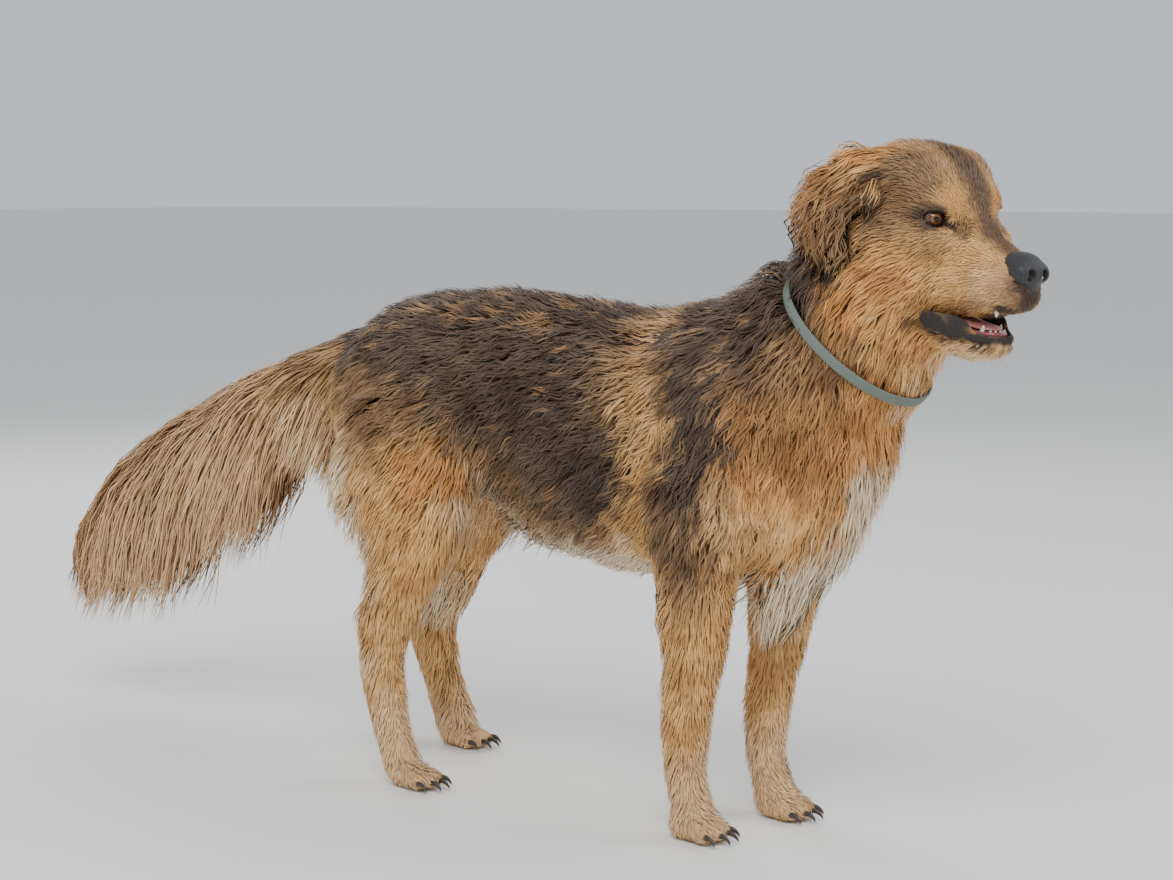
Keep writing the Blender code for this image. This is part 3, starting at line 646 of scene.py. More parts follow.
def head_field(voxel, outside):
    """The head in full detail: lips, lids, folds and ears."""
    centre = through(HEAD_CENTRE, HEAD)
    field = Field(centre - HEAD_REACH, centre + HEAD_REACH, voxel, far=0.022)
    upper = [(tube(SKULL, HEAD), 0.0), (tube(MUZZLE, HEAD), 0.016)]
    for (f, out, up), radii in HEAD_LUMPS:
        upper += [(ball((f, side * out, up), radii, HEAD), 0.014) for side in (1, -1)]
    for shape, blend in upper:
        field.add(shape, blend)
    field.add(tube(NECK, BODY), 0.02)
    field.add(tube(JAW, HEAD), 0.008)
    for side in (1, -1):
        rows = [(f, side * out, up, *sizes) for f, out, up, *sizes in EAR]
        field.add(tube(rows, HEAD, sides=24), 0.01)
    field.keep_inside(outside, 0.0012, 0.004)
    add_furrows(field)
    field.take(lip_wedge(), 0.003)
    for side in (1, -1):
        rows = [(f, side * out, up, *sizes) for f, out, up, *sizes in LIP_FOLD]
        field.add(tube(rows, HEAD, sides=16), 0.003)
    add_lids(field)
    reach_in = past_join(field)
    field.values += JOIN_DEPTH * (1 - smoothstep(0, JOIN_WIDTH, reach_in)).astype(np.float32)
    field.values = np.maximum(field.values, -reach_in)
    for edge in (field.values[:1], field.values[-1:], field.values[:, :1], field.values[:, -1:]):
        edge[...] = field.far
    field.values[:, :, :1] = field.far
    field.values[:, :, -1:] = field.far
    return field


def skin_piece(finish):
    """One skin: the head's fine surface welded to the body's."""
    outside = cad_shape()
    body = piece_from("skin", *surface_of(body_field(BODY_VOXEL, outside), 0.016))
    head = piece_from("head_skin", *surface_of(head_field(HEAD_VOXEL, outside), 0.008))
    weld = body.modifiers.new("Weld", "BOOLEAN")
    weld.operation = "UNION"
    weld.solver = "MANIFOLD"
    weld.object = head
    made_plain(body)
    bpy.data.objects.remove(head, do_unlink=True)
    body.data.materials.clear()
    body.data.materials.append(finish)
    return body


def surface_of(field, adaptivity):
    """A field's points, and its triangles and quads as one list."""
    points, triangles, quads = field.surface(adaptivity)
    return points, [triangles, quads]


def made_plain(piece):
    """Puts an object's evaluated mesh in place of its own and drops its modifiers."""
    seen = piece.evaluated_get(bpy.context.evaluated_depsgraph_get())
    data = bpy.data.meshes.new_from_object(seen)
    data.name = piece.name
    piece.modifiers.clear()
    piece.data = data
    return piece


# ---------------------------------------------------------------- how the coat lies
# Place; which way the hair lies; its length and width; degrees it lifts off the skin; wave height.
# All in millimetres but the way and the degrees.
# Given for the right side; the left is its mirror.

BODY_LIE = (
    # neck
    ((335, 0, 700), (-0.75, 0, -0.55), 50, 2.8, 14, 3.5),
    ((290, 0, 650), (-0.85, 0, -0.5), 55, 2.9, 14, 4),
    ((300, -75, 620), (-0.55, 0, -0.85), 50, 2.8, 14, 4),
    ((365, -80, 620), (-0.3, 0, -0.95), 46, 3, 14, 3.5),
    ((410, -50, 600), (-0.15, 0, -1), 46, 3, 15, 3),
    ((370, -80, 520), (-0.25, 0.05, -0.95), 52, 2.8, 14, 3.5),
    ((430, 0, 560), (-0.1, 0, -1), 55, 2.9, 16, 3),
    # chest
    ((400, -30, 470), (-0.15, 0, -1), 60, 2.9, 16, 3.5),
    ((370, -30, 380), (-0.35, 0.1, -0.95), 90, 3.1, 34, 3.5),
    ((310, -20, 340), (-0.4, 0.1, -0.95), 135, 3.1, 36, 3.5),
    ((230, 0, 320), (-0.7, 0, -0.8), 70, 3.1, 34, 3),
    # shoulder and foreleg
    ((250, -60, 600), (-0.8, -0.05, -0.55), 52, 2.9, 14, 4.5),
    ((300, -100, 480), (-0.25, 0, -0.95), 46, 2.8, 13, 4),
    ((230, -110, 480), (-0.45, 0, -0.9), 48, 2.8, 13, 4),
    ((290, -100, 390), (-0.1, 0, -1), 42, 3, 12, 3),
    ((220, -115, 350), (-0.2, 0, -1), 36, 2.8, 10, 2.5),
    ((245, -100, 270), (0, 0, -1), 24, 2.3, 6, 0.6),
    ((170, -85, 280), (-0.6, 0, -0.85), 55, 2.8, 40, 2.5),
    ((225, -95, 190), (0, 0, -1), 17, 2.1, 4, 0.2),
    ((165, -80, 200), (-0.45, 0, -0.9), 45, 2.6, 36, 2),
    ((210, -85, 110), (0, 0, -1), 13, 1.9, 4, 0),
    ((168, -80, 100), (-0.3, 0, -0.95), 30, 2.2, 13, 1),
    ((235, -78, 35), (0.8, 0, -0.6), 11.2, 1.8, 7, 0),
    ((175, -78, 30), (-0.3, 0, -0.95), 15, 2, 8, 0),
    # back and sides
    ((200, 0, 600), (-1, 0, -0.1), 55, 2.9, 13, 4.5),
    ((80, 0, 600), (-1, 0, 0.02), 52, 2.9, 12, 4.5),
    ((-80, 0, 610), (-1, 0, 0), 50, 2.9, 12, 4),
    ((-220, 0, 610), (-1, 0, -0.15), 48, 2.9, 12, 3.5),
    ((110, -95, 500), (-0.8, 0, -0.6), 50, 2.9, 12, 4.5),
    ((-20, -90, 500), (-0.88, 0, -0.48), 50, 2.9, 12, 4.5),
    ((-130, -80, 520), (-0.92, 0, -0.4), 48, 2.9, 12, 4),
    ((100, -80, 390), (-0.75, 0.05, -0.7), 50, 2.9, 13, 3.5),
    ((-30, -80, 410), (-0.75, 0.05, -0.7), 52, 2.9, 14, 3.5),
    ((80, 0, 320), (-0.7, 0, -0.75), 60, 2.9, 34, 3),
    ((-60, 0, 360), (-0.65, 0, -0.8), 60, 2.9, 36, 3),
    ((-160, -20, 420), (-0.6, 0, -0.8), 45, 2.8, 16, 2.5),
    # rump, thigh and hind leg
    ((-330, 0, 560), (-0.95, 0, -0.3), 45, 2.9, 13, 3),
    ((-320, -80, 500), (-0.7, 0, -0.75), 40, 2.8, 12, 2.5),
    ((-230, -110, 490), (-0.75, 0, -0.65), 40, 2.8, 10, 3),
    ((-160, -105, 430), (-0.35, 0, -0.95), 38, 3, 10, 2.5),
    ((-230, -125, 380), (-0.45, 0, -0.9), 34, 3, 10, 2),
    ((-350, -70, 400), (-0.4, 0, -0.95), 90, 2.9, 38, 4),
    ((-330, -80, 320), (-0.35, 0, -0.95), 85, 2.9, 38, 4),
    ((-210, -110, 280), (-0.25, 0, -0.95), 24, 2.4, 5, 0.6),
    ((-290, -95, 250), (-0.4, 0, -0.9), 60, 3, 36, 3),
    ((-240, -105, 180), (-0.1, 0, -1), 15.5, 2.1, 4, 0.2),
    ((-295, -95, 150), (-0.3, 0, -0.95), 36, 2.6, 34, 2),
    ((-235, -100, 90), (0, 0, -1), 13, 1.9, 4, 0),
    ((-285, -95, 90), (-0.3, 0, -0.95), 40, 2.4, 36, 2),
    ((-195, -98, 35), (0.8, 0, -0.6), 11.2, 1.8, 7, 0),
    ((-262, -98, 30), (-0.3, 0, -0.95), 20, 2, 11, 0),
    # tail: along its top, then hanging in a curtain
    ((-380, 0, 590), (-1, 0, -0.25), 50, 2.9, 17, 2),
    ((-440, 0, 545), (-0.9, 0, -0.45), 110, 3.1, 36, 2.5),
    ((-420, 0, 480), (-0.4, 0, -0.92), 130, 3.1, 40, 3),
    ((-550, 0, 515), (-0.85, 0, -0.52), 170, 3.3, 38, 3),
    ((-550, 0, 450), (-0.42, 0, -0.9), 210, 3.4, 42, 4),
    ((-560, 0, 350), (-0.34, 0, -0.94), 210, 3.4, 42, 4),
    ((-680, 0, 455), (-0.8, 0, -0.6), 200, 3.5, 38, 3),
    ((-680, 0, 390), (-0.45, 0, -0.89), 250, 3.6, 42, 4),
    ((-690, 0, 270), (-0.34, 0, -0.94), 250, 3.6, 42, 4),
    ((-800, 0, 385), (-0.7, 0, -0.7), 200, 3.6, 38, 3),
    ((-800, 0, 320), (-0.42, 0, -0.9), 200, 3.6, 42, 4),
    ((-810, 0, 220), (-0.34, 0, -0.94), 200, 3.6, 42, 4),
    ((-900, 0, 290), (-0.5, 0, -0.86), 130, 3.5, 38, 3),
    ((-925, 0, 220), (-0.4, 0, -0.92), 100, 3.4, 36, 3),
)
HEAD_LIE = (
    # muzzle and chin
    ((85, 0, -14), (-1, 0, 0.2), 5.5, 1.4, 9, 0),
    ((50, 0, -8), (-1, 0, 0.15), 7, 1.5, 9, 0),
    ((95, -22, -58), (-0.9, -0.1, -0.35), 6.5, 1.4, 12, 0),
    ((55, -32, -50), (-0.95, 0, -0.25), 9, 1.6, 10, 0),
    ((70, -30, -88), (-0.95, 0, -0.25), 6.5, 1.4, 12, 0),
    ((85, 0, -125), (-0.6, 0, -0.75), 12, 1.7, 28, 0.4),
    ((50, -26, -128), (-0.85, 0, -0.5), 13, 1.7, 16, 0.4),
    ((45, 0, -142), (-0.75, 0, -0.65), 18, 1.9, 28, 0.8),
    # brows and skull
    ((22, 0, 8), (-0.85, 0, 0.55), 8, 1.5, 10, 0),
    ((10, -26, 22), (-0.6, -0.3, 0.75), 9, 1.5, 15, 0),
    ((4, -50, 14), (-0.9, -0.2, 0.3), 9, 1.5, 12, 0),
    ((-10, -12, 56), (-0.8, 0, 0.6), 12, 1.8, 12, 0),
    ((-45, -20, 76), (-1, 0, 0.12), 18, 2, 14, 0.8),
    ((-95, -20, 68), (-0.95, 0, -0.35), 26, 2.3, 16, 1.5),
    ((-140, 0, 20), (-0.6, 0, -0.8), 42, 2.8, 26, 3),
    # round the eyes
    ((10, -45, 13), (-0.5, -0.3, 0.7), 4.5, 1.1, 8, 0),
    ((10, -46, -12), (-0.6, -0.3, -0.6), 4.5, 1.1, 8, 0),
    ((-3, -60, 2), (-1, -0.2, 0.1), 6, 1.2, 8, 0),
    ((20, -32, -3), (0.2, -0.1, -0.8), 4.5, 1.1, 8, 0),
    # cheeks
    ((20, -42, -20), (-0.9, -0.1, -0.45), 9, 1.5, 10, 0),
    ((-20, -62, -10), (-0.95, 0, -0.35), 14, 1.8, 12, 0.4),
    ((-10, -62, -60), (-0.85, 0, -0.6), 18, 2, 14, 0.8),
    ((-50, -72, -50), (-0.75, 0, -0.7), 28, 2.3, 16, 2),
    ((12, -48, -96), (-0.98, 0, -0.12), 8, 1.5, 10, 0.2),
    ((-35, -55, -110), (-0.6, 0, -0.85), 38, 2.6, 28, 2.5),
    ((-20, 0, -150), (-0.55, 0, -0.85), 42, 2.8, 30, 2.5),
    ((-90, -72, -40), (-0.5, 0, -0.9), 40, 2.8, 26, 4),
    ((-120, -60, 0), (-0.55, -0.1, -0.85), 42, 2.8, 30, 5),
    # ears
    ((-60, -52, 66), (-0.7, -0.5, 0.05), 18, 1.9, 12, 0.8),
    ((-80, -75, 52), (-0.5, -0.55, -0.6), 38, 2.1, 14, 3),
    ((-115, -90, 26), (-0.6, -0.2, -0.8), 56, 2.2, 24, 5),
    ((-90, -98, 12), (-0.2, -0.1, -1), 60, 2.2, 16, 5.5),
    ((-65, -90, 10), (-0.15, -0.05, -1), 34, 2, 14, 3.5),
    ((-82, -102, -35), (0, 0, -1), 48, 2.2, 15, 4.5),
)
LIE_BLUR = 0.012  # m over which one lie passes into the next

# Where no hair grows: the eyes' slits, the nose leather, the bare edges of the lips.
BARE = metres((
    ((8, 46.2, 1), (13.8, 19, 13)),
    ((15, 35, -3), (8, 7, 5)),
    ((98.5, 0, -39.5), (20.5, 24.6, 22.2)),
    ((16, 41, -107), (27, 18, 13)),
    ((42, 35, -112), (26, 16, 11.5)),
    ((70, 24, -115), (26, 20, 6.5)),
    ((55, 28, -109), (20, 14, 9)),
    ((85, 0, -113.5), (14, 24, 6)),
))

# ---------------------------------------------------------------- markings
# Colour; how much, or how much of it to take away; middle and radii, in millimetres. The rest is tan.

ORANGE, CREAM, BROWN, BLACK = range(4)
BODY_MARKS = (
    (BROWN, 1, (-10, 0, 560), (195, 220, 200)),
    (BROWN, 1, (-190, 0, 590), (180, 200, 155)),
    (BROWN, 0.95, (-310, 0, 590), (100, 150, 115)),
    (BROWN, 0.7, (-255, 110, 510), (90, 75, 80)),
    (BROWN, 0.95, (30, 100, 430), (130, 85, 100)),
    (BROWN, 0.75, (-70, 100, 450), (90, 85, 70)),
    (BROWN, 1, (235, 0, 630), (95, 100, 70)),
    (BROWN, 1, (260, 70, 605), (110, 80, 78)),
    (BLACK, 0.3, (290, 0, 660), (110, 110, 70)),
    (BROWN, 1, (300, 0, 690), (85, 100, 95)),
    (BROWN, 0.95, (335, 60, 665), (65, 75, 70)),
    (BROWN, 0.6, (385, 75, 595), (40, 55, 55)),
    (BROWN, 0.8, (235, 80, 590), (60, 75, 80)),
    (BROWN, 0.75, (-400, 0, 570), (65, 55, 45)),
    (BROWN, 0.95, (228, 120, 510), (50, 80, 150)),
    (BROWN, 0.8, (214, 120, 390), (46, 80, 115)),
    (BLACK, 0.5, (226, 120, 500), (30, 75, 105)),
    (BLACK, 0.15, (218, 120, 400), (24, 75, 70)),
    (BLACK, 0.65, (98, 110, 450), (56, 80, 65)),
    (BLACK, 0.6, (-137, 100, 495), (62, 80, 52)),
    (BLACK, 0.6, (-345, 0, 590), (50, 60, 45)),
    (BLACK, 0.3, (10, 100, 500), (120, 80, 65)),
    (BLACK, 0.2, (60, 40, 600), (80, 80, 40)),
    (ORANGE, 0.75, (395, 50, 530), (75, 85, 90)),
    (ORANGE, 0.75, (315, 100, 500), (80, 80, 95)),
    (BROWN, 0.42, (320, 100, 540), (95, 90, 90)),
    (ORANGE, 0.35, (335, 60, 420), (65, 75, 70)),
    (ORANGE, 0.35, (225, 100, 300), (60, 50, 90)),
    (ORANGE, 0.2, (205, 90, 170), (50, 50, 100)),
    (ORANGE, 0.8, (-150, 115, 440), (50, 60, 55)),
    (ORANGE, 0.35, (-210, 120, 350), (70, 60, 100)),
    (ORANGE, 0.12, (-240, 110, 200), (40, 50, 80)),
    (ORANGE, 0.3, (170, 110, 400), (20, 60, 180)),
    (CREAM, 0.75, (-325, 85, 330), (60, 80, 140)),
    (CREAM, 0.35, (-300, 95, 200), (40, 50, 120)),
    (CREAM, 0.26, (-600, 0, 420), (190, 120, 200)),
    (ORANGE, 0.3, (-700, 0, 380), (330, 120, 250)),
    (CREAM, 0.9, (-410, 0, 420), (50, 100, 110)),
    (CREAM, 0.26, (-800, 0, 320), (180, 120, 180)),
    (CREAM, 0.8, (375, 0, 440), (45, 36, 75)),
    (CREAM, 0.9, (345, 0, 380), (65, 48, 80)),
    (CREAM, 1, (285, 0, 325), (85, 60, 65)),
    (CREAM, 0.95, (40, 0, 315), (200, 95, 80)),
    (BROWN, -0.9, (40, 0, 290), (200, 95, 70)),
    (CREAM, 0.9, (-120, 0, 385), (105, 95, 70)),
    (CREAM, 0.08, (300, 105, 385), (50, 60, 60)),
    (CREAM, 0.35, (160, 80, 240), (30, 50, 110)),
    (CREAM, 0.22, (215, 75, 60), (80, 80, 75)),
    (CREAM, 0.22, (-250, 100, 60), (120, 80, 75)),
    (CREAM, 0.2, (-260, 40, 360), (100, 40, 120)),
)
HEAD_MARKS = (
    (CREAM, 0.12, (85, 30, -60), (40, 30, 30)),
    (CREAM, 0.3, (60, 0, -135), (50, 40, 20)),
    (CREAM, 0.45, (-10, 0, -185), (60, 40, 50)),
    (ORANGE, 0.6, (4, 31, 21), (26, 20, 15)),
    (ORANGE, 0.85, (-72, 65, -85), (38, 35, 38)),
    (ORANGE, 0.6, (-30, 65, -60), (50, 35, 50)),
    (ORANGE, 0.22, (20, 0, -40), (110, 80, 90)),
    (ORANGE, 0.5, (0, 40, -130), (50, 40, 40)),
    (ORANGE, 0.75, (-70, 55, 65), (32, 34, 28)),
    (ORANGE, 0.8, (-108, 95, 25), (45, 40, 50)),
    (BROWN, 0.95, (-8, 0, 52), (70, 25, 50)),
    (BROWN, 0.9, (45, 0, -6), (62, 19, 26)),
    (BROWN, 0.85, (80, 0, -18), (32, 18, 16)),
    (BROWN, 0.45, (-24, 26, 50), (45, 34, 32)),
    (BROWN, 0.3, (4, 56, -20), (40, 22, 24)),
    (BROWN, 0.9, (16, 0, 20), (34, 20, 28)),
    (BROWN, 0.45, (-60, 0, 80), (55, 55, 25)),
    (BROWN, 0.72, (-26, 50, 36), (42, 32, 40)),
    (BROWN, 0.8, (0, 54, 2), (30, 20, 20)),
    (BROWN, 0.6, (28, 26, -6), (18, 15, 13)),
    (BROWN, 0.65, (-40, 70, 6), (38, 28, 42)),
    (BROWN, 0.62, (-90, 98, 5), (48, 40, 62)),
    (BROWN, 1, (-135, 70, -45), (62, 55, 66)),
    (BROWN, 0.35, (60, 36, -85), (40, 16, 12)),
    (BROWN, -1, (4, 31, 21), (24, 18, 13.5)),
    (BROWN, 0.5, (92, 0, -60), (28, 32, 32)),
    (BLACK, 0.95, (-80, 104, -50), (28, 30, 30)),
    (BLACK, 0.8, (-52, 72, 30), (9, 24, 30)),
    (BLACK, 0.75, (-60, 90, 0), (10, 22, 45)),
    (BLACK, 0.85, (104, 0, -56), (16, 26, 30)),
    (BLACK, 1, (8, 46.2, 0.8), (15, 22, 14.2)),
    (BLACK, 0.95, (16, 34, -4), (11, 8.5, 7)),
    (BLACK, 1, (16, 41, -107), (30, 20, 15.5)),
    (BLACK, 1, (42, 35, -112), (30, 18, 14)),
    (BLACK, 1, (70, 24, -115), (30, 22, 8.5)),
    (BLACK, 1, (85, 0, -113), (17, 27, 8)),
    (BLACK, 0.9, (50, 36, -96), (45, 12, 5)),
    (BLACK, 1, (46, 33, -101), (24, 14, 12)),
    (BLACK, 0.95, (88, 0, -92.5), (36, 32, 10)),
    (BLACK, 0.9, (98, 18, -80), (20, 18, 6)),
)


def both_sides(rows, place):
    """Rows of a lie and their mirror images, moved into the world and in metres."""
    for spot, way, length, width, lift, wave in rows:
        for side in (1, -1) if spot[1] else (1,):
            here, there = (Vector((v[0], side * v[1], v[2])) for v in (metres(spot), way))
            turned_way = (place.to_3x3() @ there).normalized()
            yield (*(place @ here), *turned_way, *metres((length, width)), lift, metres(wave))


LIE = np.array([*both_sides(BODY_LIE, BODY), *both_sides(HEAD_LIE, HEAD)])


def lie_at(places):
    """Direction, length, width, lift and wave of the hair at any places."""
    found = np.empty((len(places), LIE.shape[1] - 3))
    for part in np.array_split(np.arange(len(places)), len(places) // 20000 + 1):
        apart = ((places[part, None] - LIE[:, :3]) ** 2).sum(-1)
        weight = (apart + LIE_BLUR**2) ** -2.5
        found[part] = (weight @ LIE[:, 3:]) / weight.sum(1, keepdims=True)
    return found


def within(places, centre, radii):
    """1 at the heart of an ellipsoid, falling softly to 0 just past its edge, on both sides."""
    best = np.zeros(len(places))
    for side in (1, -1) if centre[1] else (1,):
        apart = np.linalg.norm((places - (centre[0], side * centre[1], centre[2])) / radii, axis=1)
        best = np.maximum(best, 1 - smoothstep(0.5, 1.2, apart))
    return best


def ripple(places, size):
    """A smooth wander of places, as long as size, so that no marking has a ruled edge."""
    k = math.tau / size
    x, y, z = places.T
    return np.stack(
        (
            np.sin(k * (y + 0.6 * z) + 1.3) + 0.6 * np.sin(2.3 * k * (z - 0.4 * x)),
            np.sin(k * (z + 0.5 * x) + 0.4) + 0.6 * np.sin(2.1 * k * (x + 0.3 * y)),
            np.sin(k * (x - 0.7 * y) + 2.2) + 0.6 * np.sin(2.6 * k * (y + x)),
        ),
        -1,
    )


def markings_at(places):
    """How much orange, cream, brown and black the coat has at any places."""
    found = np.zeros((len(places), 4))
    for frame_place, marks, wander, size in (
        (BODY, BODY_MARKS, 0.01, 0.13),
        (HEAD, HEAD_MARKS, 0.0012, 0.03),
    ):
        local = through(places, frame_place.inverted())
        local = local + wander * ripple(local, size)
        for colour, amount, centre, radii in marks:
            share = within(local, metres(centre), metres(radii))
            if amount < 0:
                found[:, colour] *= 1 + amount * share
            else:
                found[:, colour] = np.maximum(found[:, colour], amount * share)
    # Dark over pale looks right only when more than its share of the light is taken.
    found[:, BROWN:] **= 0.75
    return found


def mouth_at(places):
    """How far any places lie in the opening between the lips."""
    f, _, up = through(places, HEAD.inverted()).T
    upper = np.interp(f, *np.transpose(UPPER_LIP))
    lower = np.interp(f, *np.transpose(LOWER_LIP))
    inside = smoothstep(0.0, 0.002, upper + 0.0012 - up) * smoothstep(0.0, 0.002, up - lower + 0.0012)
    return inside * (f > -0.01) * (f < 0.13)


def flesh_at(places):
    """Where the skin is the wet inside of the mouth."""
    f, out, _ = through(places, HEAD.inverted()).T
    cheek = np.interp(f, (0.0, 0.03, 0.055, 0.075, 0.1), (0.035, 0.032, 0.026, 0.019, 0.014))
    return mouth_at(places) * (1 - smoothstep(-0.001, 0.001, abs(out) - cheek))


def is_bare(places):
    """Where no hair grows: the mouth and the bare spots of the head."""
    local = through(places, HEAD.inverted())
    bare = mouth_at(places) > 0.3
    for centre, radii in BARE:
        bare |= within(local, centre, radii) > 0.45
    return bare


def store(data, name, kind, values):
    """A named attribute of a mesh's points from an array."""
    field = {"FLOAT_COLOR": "color", "FLOAT_VECTOR": "vector", "FLOAT": "value"}[kind]
    made = data.attributes.new(name, kind, "POINT")
    made.data.foreach_set(field, np.asarray(values, np.float32).reshape(-1))


# ---------------------------------------------------------------- coat

TUFTS = 89000
LOCK = 9  # tufts that share a leader
UV_PATCH = 0.003
UV_NAME = "OFBake"
COLLAR_CENTRE = BODY @ Vector((0.368, -0.004, 0.59))
COLLAR_TILT = math.radians(43)
COLLAR_WAY = np.array((math.sin(COLLAR_TILT), 0.0, math.cos(COLLAR_TILT)))
COLLAR_ROOM = 0.0018  # coat pressed flat under the band
COLLAR_REACH = 0.16  # from the collar's middle: farther off, the coat doesn't mind it
SHORT_TUFT = 0.024  # a tuft this short bends at two rings, one over LONG_TUFT at four
LONG_TUFT = 0.07
WAVY = 0.0038  # a wave this high needs four rings too
STRAYS = 0.04  # of the tufts end up to STRAY_REACH outside the coat
STRAY_REACH = 0.003


def coat_outline():
    """The distance to the CAD body's outside, right through to its middle."""
    low, high = (np.array(corner) for corner in CAD_BOX)
    outline = Field(low - 0.04, high + 0.04, 0.005, far=0.03)
    found, part = outline.distance(cad_shape(), inside=0.2)
    outline.values[part] = found
    return outline


def mesh_arrays(data):
    """A mesh's points and triangles."""
    data.calc_loop_triangles()
    points = np.empty(3 * len(data.vertices), np.float32)
    data.vertices.foreach_get("co", points)
    triangles = np.empty(3 * len(data.loop_triangles), np.int32)
    data.loop_triangles.foreach_get("vertices", triangles)
    return points.reshape(-1, 3).astype(float), triangles.reshape(-1, 3).astype(int)


def rooted(skin, outline, count, dice):
    """Where tufts grow: the skin triangle each stands on, its place there and the shares of its corners."""
    points, triangles = mesh_arrays(skin.data)
    corners = points[triangles]
    area = np.linalg.norm(np.cross(corners[:, 1] - corners[:, 0], corners[:, 2] - corners[:, 0]), axis=1) / 2
    middle = corners.mean(1)
    depth = np.maximum(-outline.sample(middle), 0)
    width = lie_at(middle)[:, 4]
    behind = smoothstep(0.38, 0.44, BODY.translation.x - middle[:, 0])
    weight = area * width**-1.9 * (1 + 18 * depth) * (1 + 0.8 * behind) * ~is_bare(middle)
    total = np.cumsum(weight)
    marks = (np.arange(count) + dice.random(count)) / count * total[-1]
    face = np.minimum(np.searchsorted(total, marks), len(total) - 1)
    a, b = np.sort(dice.random((2, count)), axis=0)
    shares = np.stack((a, b - a, 1 - b), -1)
    spots = (corners[face] * shares[..., None]).sum(1)
    keep = ~is_bare(spots)
    return triangles, face[keep], shares[keep], spots[keep]


def combed(spots, normals, rings, outline, lengths, looks, dice):
    """Paths of tufts from their roots out along the lie of the coat, and the way out at each point."""
    count = len(spots)
    root_depth = -outline.sample(spots)
    rise_most = np.sin(np.radians(looks[:, 5]))
    layer = np.maximum(root_depth, 0) * 0.55 * dice.random(count) ** 1.6
    layer = np.where(dice.random(count) < STRAYS, -STRAY_REACH * dice.random(count), layer)
    layer = np.minimum(layer, root_depth - 0.0008 - lengths * rise_most * 0.5)
    layer = np.maximum(layer, np.minimum(root_depth, 0) - 0.004)
    lift = np.radians(looks[:, 5] * (0.8 + 0.4 * dice.random(count)))
    hanging = smoothstep(30, 36, looks[:, 5]) * (root_depth > 0.01)
    sway = dice.normal(0, 1, (count, 3)) * (0.06 + 0.05 * hanging)[:, None]
    path, ways = [spots - normals * 0.001], [normals]
    here = spots
    step = (lengths / rings)[:, None]
    for k in range(1, rings + 1):
        share = k / rings
        way = unit(lie_at(here)[:, :3] + sway)
        # Where the nearest outside is on the far side, as in an ear or a plume, the root's own
        # way out counts.
        slope = outline.slope(here)
        agreed = smoothstep(-0.1, 0.4, (slope * normals).sum(1))
        trust = (agreed * (0.5 + 0.5 * share))[:, None]
        out = unit(slope * trust + normals * (1.02 - trust))
        free = np.maximum(smoothstep(0.01, 0.035, -outline.sample(here)), hanging)
        way = unit(way - out * ((way * out).sum(1) * 0.85 * (1 - free))[:, None])
        rise = lift * (1 - share) ** 1.5
        there = here + step * unit(way * np.cos(rise)[:, None] + out * np.sin(rise)[:, None])
        depth = -outline.sample(there)
        wanted = root_depth + (layer - root_depth) * share**0.45
        wanted = wanted + hanging * (np.minimum(np.maximum(depth, layer), 1) - wanted)
        apart = there - COLLAR_CENTRE
        near = np.abs(apart @ COLLAR_WAY)
        close = np.linalg.norm(apart, axis=1) < COLLAR_REACH
        # Under the band the coat is pressed to it; beside the band it swells.
        pressed = np.where(close, 1 - smoothstep(0.005, 0.01, near), 0)
        swollen = np.where(close, 1 - smoothstep(0.012, 0.03, near), 0) * (layer < root_depth * 0.4)
        wanted = wanted - (wanted + 0.0025) * swollen * share
        wanted = wanted + (COLLAR_ROOM + 0.2 * layer - wanted) * pressed * share**0.5
        move = np.clip(depth - wanted, -0.9 * step[:, 0], 0.9 * step[:, 0]) * np.maximum(agreed, depth < 0)
        there = there + outline.slope(there) * move[:, None]
        here = here + step * unit(there - here)
        here[:, 2] = np.maximum(here[:, 2], 0.0015)
        path.append(here)
        # Hanging hair lies flat to the outside of its curtain.
        flat = (hanging * smoothstep(0.15, 0.35, share))[:, None]
        ways.append(unit(out * (1 - flat) + slope * flat))
    return np.stack(path, 1), np.stack(ways, 1)


def curled(path, ways, height, phase, wavelength):
    """Waves across each path that grow from its root."""
    along = unit(np.gradient(path, axis=1))
    across = unit(np.cross(along, ways))
    reach = np.linalg.norm(np.diff(path, axis=1), axis=-1).cumsum(1)
    reach = np.concatenate([np.zeros((len(path), 1)), reach], 1)
    angle = reach / wavelength[:, None] * math.tau + phase[:, None]
    size = height[:, None] * smoothstep(0, 0.02, reach)
    side = (np.sin(angle) - np.sin(phase)[:, None]) * size
    up = (np.cos(1.3 * angle) - np.cos(1.3 * phase)[:, None]) * size * 0.35
    return path + across * side[..., None] + ways * up[..., None]


def locked(path, spots, leaders, pull):
    """Each lock's tips drawn to its leader's."""
    steps = np.linspace(0, 1, path.shape[1])[None, :, None]
    lead = path[leaders] + (spots - spots[leaders])[:, None] * (1 - steps) * 0.9
    share = pull[:, None, None] * steps**1.3
    return path * (1 - share) + lead * share


